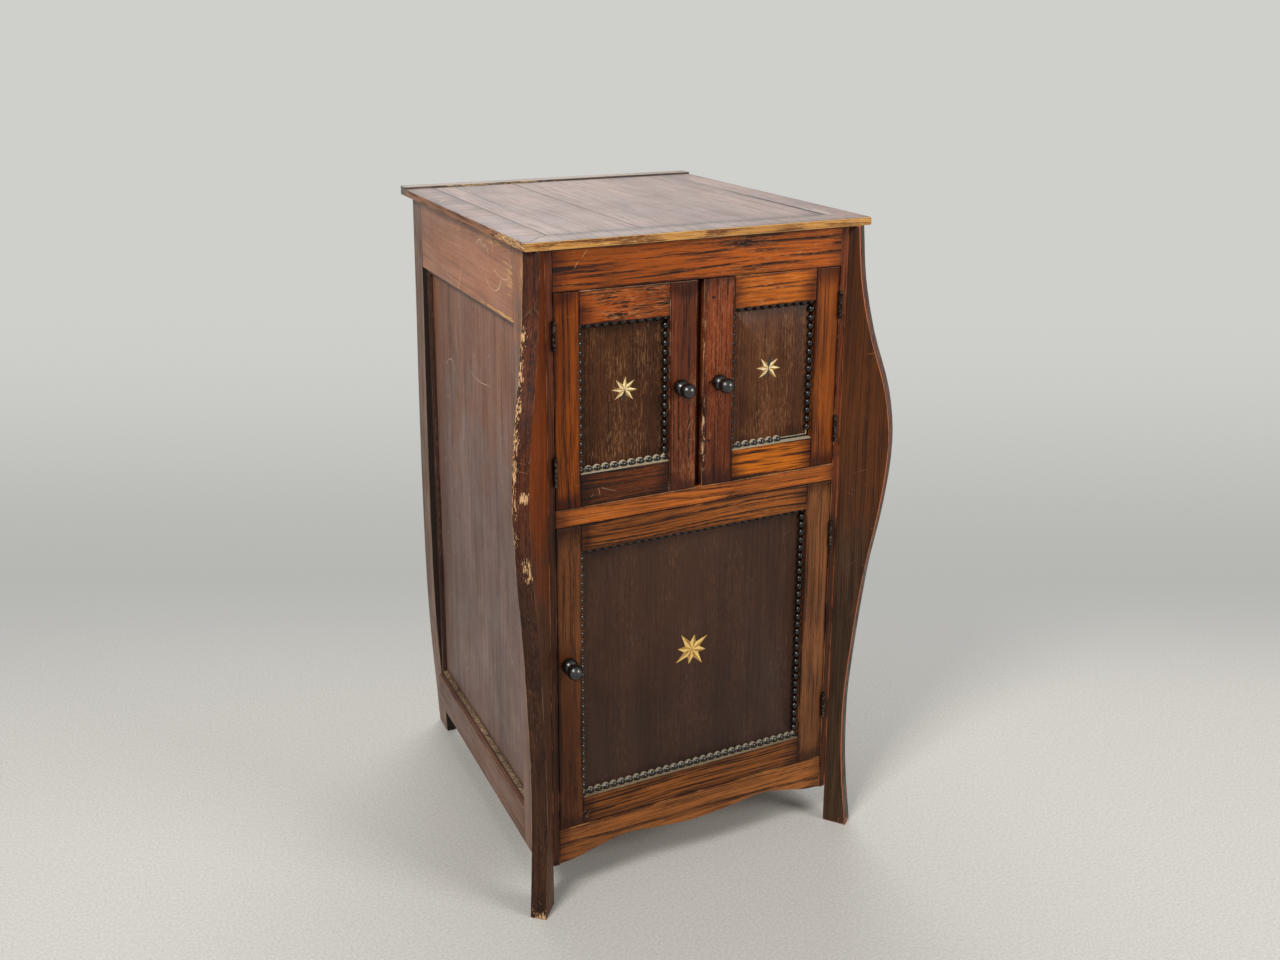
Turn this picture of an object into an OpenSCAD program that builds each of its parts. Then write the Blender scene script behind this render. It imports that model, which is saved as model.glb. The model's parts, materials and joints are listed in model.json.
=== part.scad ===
// Floor-standing gramophone cabinet: hinged lid over the turntable, two small doors
// over the horn mouth and one large door over the record space.
// X runs across the front, Y runs back and Z up. The modules draw the cabinet with its
// middle at x = 0 and its door fronts at y = 0; in_frame() moves it over the origin.

/* [Case] */
// Height of the lid panel above the floor
case_h = 930; // [915:1:945]
// Width of the case over its side frames
case_w = 476; // [474:1:480]
// Depth of the case from the door fronts to the back of the rear legs
case_d = 524; // [515:1:535]
// Width of the opening between the front stiles
open_w = 422; // [418:1:424]
// Thickness of the front rails and of the inner boards' front edge
rail_t = 22; // [21:1:24]
// Depth of a front stile along the side of the case
front_stile_d = 68; // [60:1:75]
// Depth of a rear leg along the side of the case
rear_leg_d = 44; // [40:1:48]

/* [Levels] */
// Underside of the front top rail
top_rail_z = 864; // [855:1:870]
// Top of the middle rail
mid_rail_top = 578.5; // [570:0.5:585]
// Height of the middle rail
mid_rail_h = 24.5; // [20:0.5:28]
// Top of the apron, the floor board and the side bottom rails
base_top = 112; // [105:1:120]
// Underside of the side bottom rails and of the apron's ends
base_z = 59; // [52:1:66]
// Underside of the side top rails
side_top_z = 813; // [800:1:825]

/* [Front posts] */
// Angle between a front post's board and the front of the case
post_angle = 50; // [46:1:54]
// Thickness of a front post's board
post_t = 23; // [20:1:24]
// Outline of a front post as height and reach, from the foot to the lid
post_curve = [[0, 35.5], [75, 27.5], [143, 24], [229, 25.3], [412, 44], [520, 62.5],
              [615, 71], [690, 62.5], [771, 37.5], [845, 22.5], [918.7, 16.3]];
// Bulge of a rear leg as height and offset from the side of the case
leg_curve = [[0, -11.5], [60, -8], [165, -1.5], [270, 2.2], [415, 3.5], [600, 2.8],
             [760, 1], [918.7, 0]];

/* [Apron] */
// Half of the apron's lower edge as distance from the middle and height
apron_curve = [[0, 68], [60, 72.5], [112, 78], [150, 71], [185, 62.5], [211, 60]];

/* [Doors] */
// Thickness of the doors
door_t = 20; // [18:1:20]
// Gap around each door
door_gap = 0.8; // [0.6:0.1:1]
// Width of the left door's hinge stile and of the lower door's left stile
stile_w = 35; // [32:1:38]
// Width of the left door's meeting stile, with its rebated edge
left_meeting_w = 47.5; // [44:0.5:52]
// Width of the rebated edge of the left door's meeting stile
rebate_w = 8.5; // [7:0.5:10]
// Depth of that rebate
rebate_d = 10; // [8:1:12]
// Width of the right door's meeting stile
right_meeting_w = 46; // [44:1:50]
// Width of the right door's hinge stile
right_hinge_w = 37; // [34:1:40]
// Width of the small doors' rails
small_rail_w = 44; // [40:1:48]
// Width of the lower door's top rail
lower_top_w = 37; // [34:1:40]
// Width of the lower door's bottom rail
lower_bottom_w = 41; // [38:1:44]
// Width of the lower door's hinge stile
lower_hinge_w = 40; // [36:1:42]
// Depth of the door panels behind the door fronts
panel_y = 11; // [10:0.5:12]
// Thickness of the door panels
panel_t = 6; // [5:0.5:7]
// Depth of the rebate that holds a panel
panel_lap = 6; // [5:1:8]

/* [Beading] */
// Distance between beads
bead_pitch = 12; // [11:0.5:13]
// Radius of a bead
bead_r = 5.6; // [5:0.1:5.8]
// Distance of the beads' centres from the frame and from the panel
bead_off = 1.5; // [1:0.1:2]
// Width of the strip that carries the beads
bead_strip = 3; // [2.5:0.5:3.5]
// Beads lost from the right end of the right door's lower row
lost_beads = 4; // [0:1:8]

/* [Stars and knobs] */
// Thickness of a star
star_t = 1.6; // [1.2:0.1:2]
// How far a star stands out of its panel
star_proud = 0.5; // [0.3:0.1:0.8]
// Left door's star: place, width over its level rays and over its slanting rays, turn
left_star = [-108.5, 725, 38, 39, 5];
// Right door's star, in the same order
right_star = [107.4, 728.5, 39, 40, 5];
// Lower door's star, in the same order
lower_star = [-4.8, 333, 45.5, 60, 11.5];
// Radius of a knob's ball
knob_r = 10.5; // [9:0.5:11]
// How far a knob stands out of its door
knob_reach = 32; // [28:1:34]
// Height of the small doors' knobs
small_knob_z = 722.5; // [715:0.5:730]
// Height of the lower door's knob
lower_knob_z = 359; // [350:1:370]

/* [Hinges] */
// Length of a hinge
hinge_l = 38; // [34:2:42]
// Radius of a hinge's barrel
barrel_r = 2.6; // [2.4:0.1:2.8]
// Radius of a hinge's pin
pin_r = 1.2; // [1:0.1:1.4]
// Depth of a hinge leaf
leaf_d = 16; // [12:1:17]
// Thickness of a hinge leaf
leaf_t = 1; // [0.8:0.1:1.2]
// Heights of the small doors' hinges
small_hinge_z = [810, 632];
// Heights of the lower door's hinges
lower_hinge_z = [473, 200];
// Distance of the lid's hinges from the middle
lid_hinge_x = 140; // [120:5:160]

/* [Lid] */
// Width of the lid
lid_w = 500; // [494:1:506]
// Thickness of the lid
lid_t = 11; // [10:0.5:12]
// Overhang of the lid past the door fronts
lid_front = 11; // [9:1:13]
// Overhang of the lid past the rear legs
lid_back = 22; // [20:1:24]
// Width of the lid's front and side members
lid_member = 45; // [42:1:48]
// Width of the lid's rear strip
rear_strip_w = 25; // [22:1:28]
// How far the rear strip stands above the panel
rear_strip_proud = 3; // [2:0.5:4]
// Gap between the lid and the case
lid_gap = 0.3; // [0.2:0.1:0.5]
// Open joint at the mitres of the lid's frame
mitre_gap = 0.2; // [0.1:0.1:0.5]

/* [Side panels] */
// Depth of the side panels behind the side frames
side_recess = 13; // [11:1:14]
// Thickness of the side panels
side_panel_t = 6; // [5:0.5:7]
// Size of the fillet around each side panel
fillet = 7; // [5:0.5:8]

/* [Inside] */
// Thickness of the shelf, the floor board and the motor board
board_t = 15; // [12:1:16]
// Thickness of the back panel
back_t = 6; // [5:1:8]
// Top of the motor board
deck_z = 812; // [808:1:814]
// Thickness of the board around the horn mouth
fascia_t = 12; // [10:1:14]
// Half the width of the horn mouth
mouth_x = 160; // [150:1:165]
// Lower and upper edge of the horn mouth
mouth_z = [590, 765];
// Thickness of the horn's walls
horn_wall = 6; // [5:1:7]

/* [Turntable and motor] */
// Place of the turntable's spindle
spindle = [-10, 195];
// Radius of the turntable
table_r = 125; // [120:1:127]
// Radius of the spindle
spindle_r = 3.5; // [3:0.1:3.7]
// Radius of the turntable's shaft below the record
shaft_r = 4.5; // [4:0.1:6]
// Thickness of the felt mat
mat_t = 1.5; // [1:0.1:2.5]
// Running clearance around a shaft
run_gap = 0.05; // [0.02:0.01:0.08]
// Radius of the spring barrel
spring_r = 36; // [34:1:37]
// Place of the spring barrel
spring_at = [-62, 211];
// Height between the motor's two plates
motor_h = 71; // [68:1:72]

/* [Tonearm] */
// Place of the tonearm's pivot
arm_at = [105, 395];
// Turn of the tonearm at rest, away from the turntable
arm_turn = 18; // [16:1:20]
// Distance from the pivot to the middle of the soundbox
arm_l = 222; // [218:1:226]
// Height of the tonearm's tube above the motor board
arm_h = 65.5; // [64:0.5:68]
// Radius of the soundbox
box_r = 24; // [22:1:25]
// Thickness of the soundbox
box_t = 14; // [12:1:15]

/* [Crank] */
// Place of the winding shaft along the side and its height
crank_at = [215, 757];
// Radius of the winding shaft
crank_r = 6; // [5:0.5:6]
// Distance from the winding shaft to the grip
crank_throw = 95; // [85:1:100]
// Radius of the grip
grip_r = 13; // [11:1:14]
// Length of the grip
grip_l = 60; // [50:1:64]

/* [Hidden] */
$fn = 64;

cut = 1;                                   // overrun of a cutting solid
half_case = case_w / 2;
half_open = open_w / 2;
case_top = case_h - lid_t - lid_gap;
strip_x = half_case - post_t * sin(post_angle);   // outer edge of the visible stile strip
side_t = half_case - half_open;
leg_y = case_d - rear_leg_d;
back_y = case_d - back_t - 2;              // front of the back panel, set in by 2
back_rail_t = 14;                          // back top rail in front of the panel
shelf_z = mid_rail_top - 1.5 - board_t;    // the shelf lies a little below the middle rail
fascia_top = case_top - 40;

// Each door is [left, right, bottom, top] outside and the same for its panel opening.
function door(x0, x1, z0, z1, l, r, b, t) = [x0, x1, z0, z1, x0 + l, x1 - r, z0 + b, z1 - t];
door_x = half_open - door_gap;
meeting_x = [-1.6, 0.4];                   // meeting edges of the small doors
small_z0 = mid_rail_top + door_gap;
small_z1 = top_rail_z - door_gap;
lower_z0 = base_top + door_gap;
lower_z1 = mid_rail_top - mid_rail_h - door_gap;
left_door = door(-door_x, meeting_x[0], small_z0, small_z1,
                 stile_w, left_meeting_w, small_rail_w, small_rail_w);
right_door = door(meeting_x[1], door_x, small_z0, small_z1,
                  right_meeting_w, right_hinge_w, small_rail_w, small_rail_w);
lower_door = door(-door_x, door_x, lower_z0, lower_z1,
                  stile_w, lower_hinge_w, lower_bottom_w, lower_top_w);
knob_x = [-33, 24, -195];                  // left, right and lower door

knuckle_l = hinge_l / 3;
knuckle_gap = 0.15;                        // each knuckle is this much short of its third
leaf_gap = 0.2;                            // from a leaf to the middle plane of its hinge
barrel_gap = 0.3;                          // from a barrel to the wood beside it
barrel_y = -barrel_r - barrel_gap;         // hinge axis in front of the door fronts
lid_axis_y = case_d + barrel_r + barrel_gap;
lid_axis_z = case_top + lid_gap - leaf_t - barrel_r - barrel_gap;

plate_t = 4;                               // the motor's two plates
motor_top = deck_z - board_t - plate_t;
motor_low = motor_top - motor_h - plate_t;
wheel_r = 9;                               // wheel on the shaft that drives the governor
gear_r = norm(spindle - spring_at) - shaft_r - 0.5;   // great wheel of the spring barrel
governor_y = spindle[1] - wheel_r - 2.7;
motor_x = [-100, 80];
motor_y = [130, 275];
arbor_r = 4;                               // spring barrel's arbor and the pillars
governor_x = -23.5;                        // left end of the governor's shaft
governor_l = 90;
governor_r = 2;
bearing_t = 5;                             // bearing blocks of the governor
bearing_half = 7;
crank_bearing = [40, 48];                  // bearing block of the winding shaft, along X
crank_in = -12;                            // inner end of the winding shaft
arm_z = deck_z + arm_h;
table_low = deck_z + 8;
table_top = deck_z + 26;
table_wall = 6;
record_pin_l = 10.5;                       // above the mat
hub_r = 14;
end_gap = 0.3;                             // free space at the end of a shaft
base_r = 20;                               // tube of the tonearm base
socket_r = 15;                             // its bore
socket_h = 38;
flange_r = 32;
throat_z = 682;                            // lower end of the tube to the horn
horn_front = [mouth_x + 8, mouth_z[1] + 10];   // half width and top of the horn's front end
horn_knee = [120, 706];                    // depth and height where the roof levels out
horn_back = arm_at[1] + 40;
horn_back_z = 690;                         // height of the roof at the back
throat_half_w = 30;
stub_r = 5;                                // tube that carries the soundbox
crank_arm_x = half_case + 6;
crank_arm_t = 8;
grip_pin_r = 4;
grip_gap = 0.5;                            // at either end of the grip
pin_head_t = 3;
crank_reach = crank_arm_x + crank_arm_t + grip_l + 2 * grip_gap + pin_head_t;
brake_at = [-150, 100];
brake_pin_r = 3;
brake_pin_l = 9;
brake_arm_z = deck_z + 9;                  // underside of the brake's arm

// The origin is at the middle of the whole object's base.
post_reach = max([for (p = post_curve) p[1]]);
left_reach = strip_x + post_reach * cos(post_angle) + post_t * sin(post_angle);
front_reach = post_reach * sin(post_angle);
middle_x = (crank_reach - left_reach) / 2;
middle_y = (case_d + lid_back - front_reach) / 2;

// ---- curves ----

// Slope of the curve through the points p at point i.
function slope(p, i) =
    let (a = max(i - 1, 0), b = min(i + 1, len(p) - 1)) (p[b][1] - p[a][1]) / (p[b][0] - p[a][0]);

// Value between points i and i + 1, at the share t of the way.
function between(p, i, t) =
    let (h = p[i + 1][0] - p[i][0])
    (2 * t ^ 3 - 3 * t ^ 2 + 1) * p[i][1] + (t ^ 3 - 2 * t ^ 2 + t) * h * slope(p, i)
    + (3 * t ^ 2 - 2 * t ^ 3) * p[i + 1][1] + (t ^ 3 - t ^ 2) * h * slope(p, i + 1);

// Points of a smooth curve through p, with a few steps to each stretch.
function curve(p, steps) = concat(
    [for (i = [0 : len(p) - 2]) for (k = [0 : steps - 1])
        [p[i][0] + (p[i + 1][0] - p[i][0]) * k / steps, between(p, i, k / steps)]],
    [p[len(p) - 1]]);

// ---- shared shapes ----

module in_frame() { translate([-middle_x, -middle_y, 0]) children(); }

module on_side(side) { if (side < 0) mirror([1, 0, 0]) children(); else children(); }

// A block from one corner to the other.
module block(low, high) { translate(low) cube(high - low); }

// ---- case ----

module post(side) {
    outline = concat([[0, 0]], [for (p = curve(post_curve, 4)) [p[1], p[0]]],
                     [[0, post_curve[len(post_curve) - 1][0]]]);
    color("saddlebrown")
    on_side(side)
    translate([strip_x, 0, 0])
    rotate([0, 0, -post_angle])
    translate([0, post_t, 0])
    rotate([90, 0, 0])
    linear_extrude(post_t) polygon(outline);
}

module rear_leg(side) {
    outline = concat([[half_open, 0]],
                     [for (p = curve(leg_curve, 4)) [half_case + p[1], p[0]]],
                     [[half_open, leg_curve[len(leg_curve) - 1][0]]]);
    color("saddlebrown")
    on_side(side)
    translate([0, case_d, 0])
    rotate([90, 0, 0])
    linear_extrude(rear_leg_d) polygon(outline);
}

// The stile's outer front corner is cut to the angle of the post that is glued on it.
module front_stile(side) {
    seat_y = post_t * cos(post_angle);
    color("sienna")
    difference() {
        on_side(side)
        translate([0, 0, base_z])
        linear_extrude(case_top - base_z)
        polygon([[half_open, 0], [strip_x, 0], [half_case, seat_y],
                 [half_case, front_stile_d], [half_open, front_stile_d]]);
        for (z = side < 0 ? small_hinge_z : concat(small_hinge_z, lower_hinge_z))
            leaf_mortise(side, z, 0);
    }
}

module side_rail(side, z0, z1) {
    color("saddlebrown")
    on_side(side)
    block([half_open, front_stile_d, z0], [half_case, leg_y, z1]);
}

// The panel and the fillet strip around it.
module side_panel(side, crank_hole) {
    face = half_case - side_recess;
    color("rosybrown")
    on_side(side)
    difference() {
        block([face - side_panel_t, front_stile_d, base_top],
              [face + fillet, leg_y, side_top_z]);
        block([face, front_stile_d + fillet, base_top + fillet],
              [face + fillet + cut, leg_y - fillet, side_top_z - fillet]);
        if (crank_hole)
            translate([face - side_panel_t - cut, crank_at[0], crank_at[1]])
            rotate([0, 90, 0])
            cylinder(r = crank_r + run_gap, h = side_panel_t + 2 * cut);
    }
}

module front_top_rail() {
    color("peru") block([-half_open, 0, top_rail_z], [half_open, rail_t, case_top]);
}

module middle_rail() {
    color("peru") block([-half_open, 0, mid_rail_top - mid_rail_h], [half_open, rail_t, mid_rail_top]);
}

module apron() {
    last = len(apron_curve) - 1;
    left = [for (i = [last : -1 : 1]) [-apron_curve[i][0], apron_curve[i][1]]];
    lower_edge = curve(concat(left, apron_curve), 4);
    color("peru")
    translate([0, rail_t, 0])
    rotate([90, 0, 0])
    linear_extrude(rail_t)
    polygon(concat(lower_edge, [[half_open, base_top], [-half_open, base_top]]));
}

module back_top_rail() {
    color("saddlebrown") block([-half_open, back_y - back_rail_t, top_rail_z], [half_open, case_d, case_top]);
}

module back_panel() {
    color("burlywood")
    block([-half_open, back_y, base_top - board_t], [half_open, back_y + back_t, top_rail_z]);
}

module floor_board() {
    color("burlywood") block([-half_open, rail_t, base_top - board_t], [half_open, back_y, base_top]);
}

module shelf() {
    color("burlywood") block([-half_open, rail_t, shelf_z], [half_open, back_y, shelf_z + board_t]);
}

// ---- horn and motor board ----

module horn_fascia() {
    color("sienna")
    difference() {
        block([-half_open, rail_t, shelf_z + board_t], [half_open, rail_t + fascia_t, fascia_top]);
        block([-mouth_x, 0, mouth_z[0]], [mouth_x, rail_t + fascia_t + cut, mouth_z[1]]);
    }
}

// The horn's outside, drawn in by the given wall thickness. The throat is at the back. Its
// roof falls steeply behind the mouth and then runs nearly level to the throat.
module horn_form(wall) {
    y0 = rail_t + fascia_t;
    z0 = shelf_z + board_t + wall;
    y1 = horn_back;
    x0 = horn_front[0] - wall;
    x1 = throat_half_w - wall;
    side = [[y0, z0], [y0, horn_front[1] - wall], [horn_knee[0], horn_knee[1] - wall],
            [y1 - wall, horn_back_z - wall], [y1 - wall, z0]];
    plan = [[-x0, y0], [x0, y0], [arm_at[0] + x1, y1], [arm_at[0] - x1, y1]];
    intersection() {
        translate([-half_open, 0, 0])
        rotate([90, 0, 90])
        linear_extrude(open_w) polygon(side);
        translate([0, 0, z0 - cut])
        linear_extrude(horn_front[1]) polygon(plan);
    }
}

// Opens the horn's front face up to its walls.
module horn_mouth() {
    y0 = rail_t + fascia_t;
    x1 = horn_front[0] - horn_wall;
    block([-x1, y0 - cut, shelf_z + board_t + horn_wall], [x1, y0 + cut, horn_front[1] - horn_wall]);
}

module horn() {
    color("tan")
    difference() {
        horn_form(0);
        horn_form(horn_wall);
        horn_mouth();
        upright(arm_at, throat_z - horn_wall, horn_back_z + horn_wall, base_r);
    }
}

module motor_board() {
    color("tan")
    difference() {
        block([-half_open, rail_t + fascia_t, deck_z - board_t], [half_open, back_y, deck_z]);
        translate([spindle[0], spindle[1], deck_z - board_t - cut])
            cylinder(r = hub_r + 2, h = board_t + 2 * cut);
        translate([arm_at[0], arm_at[1], deck_z - board_t - cut])
            cylinder(r = base_r, h = board_t + 2 * cut);
        upright(brake_at, deck_z - brake_pin_l - cut, deck_z + cut, brake_pin_r + run_gap);
    }
}

// ---- lid ----

// A front member and two side members, mitred at the front corners.
module lid_frame() {
    x1 = lid_w / 2;
    y0 = -lid_front;
    y1 = case_d + lid_back - rear_strip_w;
    inner = x1 - lid_member;
    z0 = case_h - lid_t;
    color("saddlebrown") {
        translate([0, 0, z0])
        linear_extrude(lid_t)
        polygon([[-x1, y0], [x1, y0], [inner, y0 + lid_member], [-inner, y0 + lid_member]]);
        for (side = [-1, 1])
            translate([0, 0, z0])
            linear_extrude(lid_t)
            polygon([[side * x1, y0 + mitre_gap], [side * x1, y1], [side * inner, y1],
                     [side * inner, y0 + lid_member + mitre_gap]]);
    }
}

module lid_rear_strip() {
    y1 = case_d + lid_back;
    color("saddlebrown")
    block([-lid_w / 2, y1 - rear_strip_w, case_h - lid_t], [lid_w / 2, y1, case_h + rear_strip_proud]);
}

module lid_panel() {
    inner = lid_w / 2 - lid_member;
    color("rosybrown")
    block([-inner, lid_member - lid_front + mitre_gap, case_h - lid_t],
          [inner, case_d + lid_back - rear_strip_w, case_h]);
}

// ---- doors ----

module panel_rebate(d) {
    block([d[4] - panel_lap, panel_y, d[6] - panel_lap],
          [d[5] + panel_lap, door_t + cut, d[7] + panel_lap]);
}

module door_stiles(d, side, hinges) {
    color("sienna")
    difference() {
        union() {
            block([d[0], 0, d[2]], [d[4], door_t, d[3]]);
            block([d[5], 0, d[2]], [d[1], door_t, d[3]]);
        }
        panel_rebate(d);
        for (z = hinges) leaf_mortise(side, z, door_gap);
    }
}

// The left door's meeting edge steps back beside the right door.
module left_stiles() {
    difference() {
        door_stiles(left_door, -1, small_hinge_z);
        block([left_door[1] - rebate_w, -cut, left_door[2] - cut],
              [left_door[1] + cut, rebate_d, left_door[3] + cut]);
    }
}

module door_rails(d) {
    color("peru")
    difference() {
        union() {
            block([d[4], 0, d[2]], [d[5], door_t, d[6]]);
            block([d[4], 0, d[7]], [d[5], door_t, d[3]]);
        }
        panel_rebate(d);
    }
}

// Eight slim rays: four level and upright ones and four slanting ones.
module star_shape(star) {
    notch_r = star[3] * 0.205;
    polygon([for (i = [0 : 15])
        let (r = i % 2 == 1 ? notch_r : i % 4 == 0 ? star[2] / 2 : star[3] / 2)
        r * [cos(i * 22.5 - star[4]), sin(i * 22.5 - star[4])]]);
}

module star_solid(star) {
    translate([star[0], panel_y - star_proud + star_t, star[1]])
    rotate([90, 0, 0])
    linear_extrude(star_t) star_shape(star);
}

module door_panel(d, star) {
    color([0.25, 0.16, 0.12])
    difference() {
        block([d[4] - panel_lap, panel_y, d[6] - panel_lap],
              [d[5] + panel_lap, panel_y + panel_t, d[7] + panel_lap]);
        star_solid(star);
    }
}

module door_star(star) {
    color("khaki") star_solid(star);
}

// One bead, cut off flat where it meets the frame and the panel.
module bead(w, h, x, z) {
    intersection() {
        cube([w, panel_y, h]);
        translate([x, panel_y - bead_off, z]) rotate([90, 0, 0]) sphere(bead_r);
    }
}

// Beads on a strip in the corner between the frame and the panel, all the way round.
module door_beading(d, lost) {
    w = d[5] - d[4];
    h = d[7] - d[6];
    nw = round((w - 2 * bead_off) / bead_pitch);
    nh = round((h - 2 * bead_off) / bead_pitch);
    pw = (w - 2 * bead_off) / nw;
    ph = (h - 2 * bead_off) / nh;
    color([0.2, 0.15, 0.12])
    translate([d[4], 0, d[6]]) {
        difference() {
            translate([0, panel_y - bead_strip, 0]) cube([w, bead_strip, h]);
            block([bead_strip, 0, bead_strip], [w - bead_strip, panel_y + cut, h - bead_strip]);
        }
        for (i = [0 : nw]) bead(w, h, bead_off + i * pw, h - bead_off);
        for (i = [0 : nw - lost]) bead(w, h, bead_off + i * pw, bead_off);
        for (i = [1 : nh - 1], x = [bead_off, w - bead_off]) bead(w, h, x, bead_off + i * ph);
    }
}

// A turned knob: a low dome against the door, a neck and a ball.
module door_knob(x, z) {
    dome_r = 11;
    dome_out = 4;                          // middle of the dome in front of the door
    neck_r = 7;
    color("black")
    translate([x, 0, z])
    rotate([90, 0, 0])
    difference() {
        union() {
            translate([0, 0, dome_out]) sphere(dome_r);
            cylinder(r = neck_r, h = knob_reach - knob_r);
            translate([0, 0, knob_reach - knob_r]) sphere(knob_r);
        }
        translate([0, 0, -dome_r]) cylinder(r = dome_r + cut, h = dome_r);
    }
}

// ---- hinges ----

// Cut for a hinge leaf in a stile (gap 0) or in a door edge (its gap to the opening).
module leaf_mortise(side, z, gap) {
    into = gap > 0 ? -leaf_t - leaf_gap : -cut;
    out = gap > 0 ? cut : leaf_t + leaf_gap;
    on_side(side)
    block([half_open + into, -cut, z - hinge_l / 2], [half_open + out, leaf_d, z + hinge_l / 2]);
}

// One knuckle of a hinge barrel, k thirds up, with its web to the leaf plane.
module knuckle(k, from, to, sign) {
    color("dimgray") {
        translate([0, barrel_y, k * knuckle_l + from])
            cylinder(r = barrel_r, h = to - from);
        block([sign > 0 ? leaf_gap : -leaf_t - leaf_gap, barrel_y, k * knuckle_l + from],
              [sign > 0 ? leaf_t + leaf_gap : -leaf_gap, 1, k * knuckle_l + to]);
    }
}

// Leaf fixed to the case: two knuckles and the pin.
module case_leaf() {
    color("dimgray") {
        knuckle(0, 0, knuckle_l - knuckle_gap, 1);
        knuckle(2, knuckle_gap, knuckle_l, 1);
        block([leaf_gap, barrel_gap, 0], [leaf_t + leaf_gap, leaf_d, hinge_l]);
        translate([0, barrel_y, 0]) cylinder(r = pin_r, h = hinge_l);
    }
}

// Leaf fixed to the moving part: the middle knuckle, bored for the pin.
module moving_leaf() {
    color("dimgray")
    difference() {
        union() {
            knuckle(1, knuckle_gap, knuckle_l - knuckle_gap, -1);
            block([-leaf_t - leaf_gap, barrel_gap, 0], [-leaf_gap, leaf_d, hinge_l]);
        }
        translate([0, barrel_y, -cut]) cylinder(r = pin_r + run_gap, h = hinge_l + 2 * cut);
    }
}

module at_door_hinge(side, z) {
    on_side(side) translate([half_open, 0, z - hinge_l / 2]) children();
}

module case_hinge_leaves() {
    for (z = small_hinge_z, side = [-1, 1]) at_door_hinge(side, z) case_leaf();
    for (z = lower_hinge_z) at_door_hinge(1, z) case_leaf();
}

module door_hinge_leaves(side, hinges) {
    for (z = hinges) at_door_hinge(side, z) moving_leaf();
}

// The lid's hinges lie behind the case under the lid's overhang.
module lid_barrel(from, to) {
    translate([from, lid_axis_y, lid_axis_z]) rotate([0, 90, 0]) cylinder(r = barrel_r, h = to - from);
}

module lid_hinge_plates() {
    for (x = [-lid_hinge_x, lid_hinge_x])
        color("dimgray")
        translate([x - hinge_l / 2, 0, 0]) {
            for (k = [[0, knuckle_l - knuckle_gap], [2 * knuckle_l + knuckle_gap, hinge_l]]) {
                lid_barrel(k[0], k[1]);
                block([k[0], case_d, lid_axis_z - 4], [k[1], case_d + leaf_t, lid_axis_z]);
            }
            block([0, case_d, lid_axis_z - leaf_d], [hinge_l, case_d + leaf_t, lid_axis_z - 3]);
            translate([0, lid_axis_y, lid_axis_z]) rotate([0, 90, 0]) cylinder(r = pin_r, h = hinge_l);
        }
}

module lid_hinge_flaps() {
    under = case_h - lid_t;
    low = knuckle_l + knuckle_gap;
    high = 2 * knuckle_l - knuckle_gap;
    for (x = [-lid_hinge_x, lid_hinge_x])
        color("dimgray")
        translate([x - hinge_l / 2, 0, 0])
        difference() {
            union() {
                lid_barrel(low, high);
                block([low, lid_axis_y - leaf_t / 2, lid_axis_z],
                      [high, lid_axis_y + leaf_t / 2, under]);
                block([0, case_d + 0.5, under - leaf_t], [hinge_l, case_d + leaf_d, under]);
            }
            translate([-cut, lid_axis_y, lid_axis_z])
            rotate([0, 90, 0]) cylinder(r = pin_r + run_gap, h = hinge_l + 2 * cut);
        }
}

// ---- motor and turntable ----

module upright(at, z0, z1, r) { translate([at[0], at[1], z0]) cylinder(r = r, h = z1 - z0); }

// Two plates on four pillars, with bearing blocks for the governor and the winding shaft.
module motor_frame() {
    inset = 8;
    color("gray")
    difference() {
        union() {
            for (z = [motor_low, motor_top])
                block([motor_x[0], motor_y[0], z], [motor_x[1], motor_y[1], z + plate_t]);
            for (x = [motor_x[0] + inset, motor_x[1] - inset], y = [motor_y[0] + inset, motor_y[1] - inset])
                upright([x, y], motor_low, motor_top + plate_t, arbor_r);
            for (x = [governor_x - 0.5, governor_x + governor_l - bearing_t + 0.5])
                block([x, governor_y - bearing_half, crank_at[1] - bearing_half],
                      [x + bearing_t, governor_y + bearing_half, motor_top + cut]);
            block([crank_bearing[0], crank_at[0] - 10, crank_at[1] - 11],
                  [crank_bearing[1], crank_at[0] + 10, motor_top + cut]);
        }
        upright(spindle, motor_low - cut, motor_top + plate_t + cut, shaft_r + run_gap);
        upright(spring_at, motor_low - cut, motor_top + plate_t + cut, arbor_r + run_gap);
        translate([governor_x - cut - 0.5, governor_y, crank_at[1]])
            rotate([0, 90, 0]) cylinder(r = governor_r + run_gap, h = governor_l + 2 * cut + 1);
        translate([crank_bearing[0] - cut, crank_at[0], crank_at[1]])
            rotate([0, 90, 0])
            cylinder(r = crank_r + run_gap, h = crank_bearing[1] - crank_bearing[0] + 2 * cut);
    }
}

// The barrel on its arbor, with the great wheel and a collar below it.
module spring_barrel() {
    low = motor_low + plate_t;
    gear_z = low + 2;
    gear_t = 4;
    collar_r = 12;
    barrel_z = low + 8;
    color("darkgoldenrod")
    union() {
        upright(spring_at, barrel_z, motor_top - 8, spring_r);
        upright(spring_at, gear_z, gear_z + gear_t, gear_r);
        upright(spring_at, gear_z + gear_t - cut, barrel_z + cut, collar_r);
        upright(spring_at, motor_low + end_gap, motor_top + plate_t - end_gap, arbor_r);
    }
}

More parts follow.
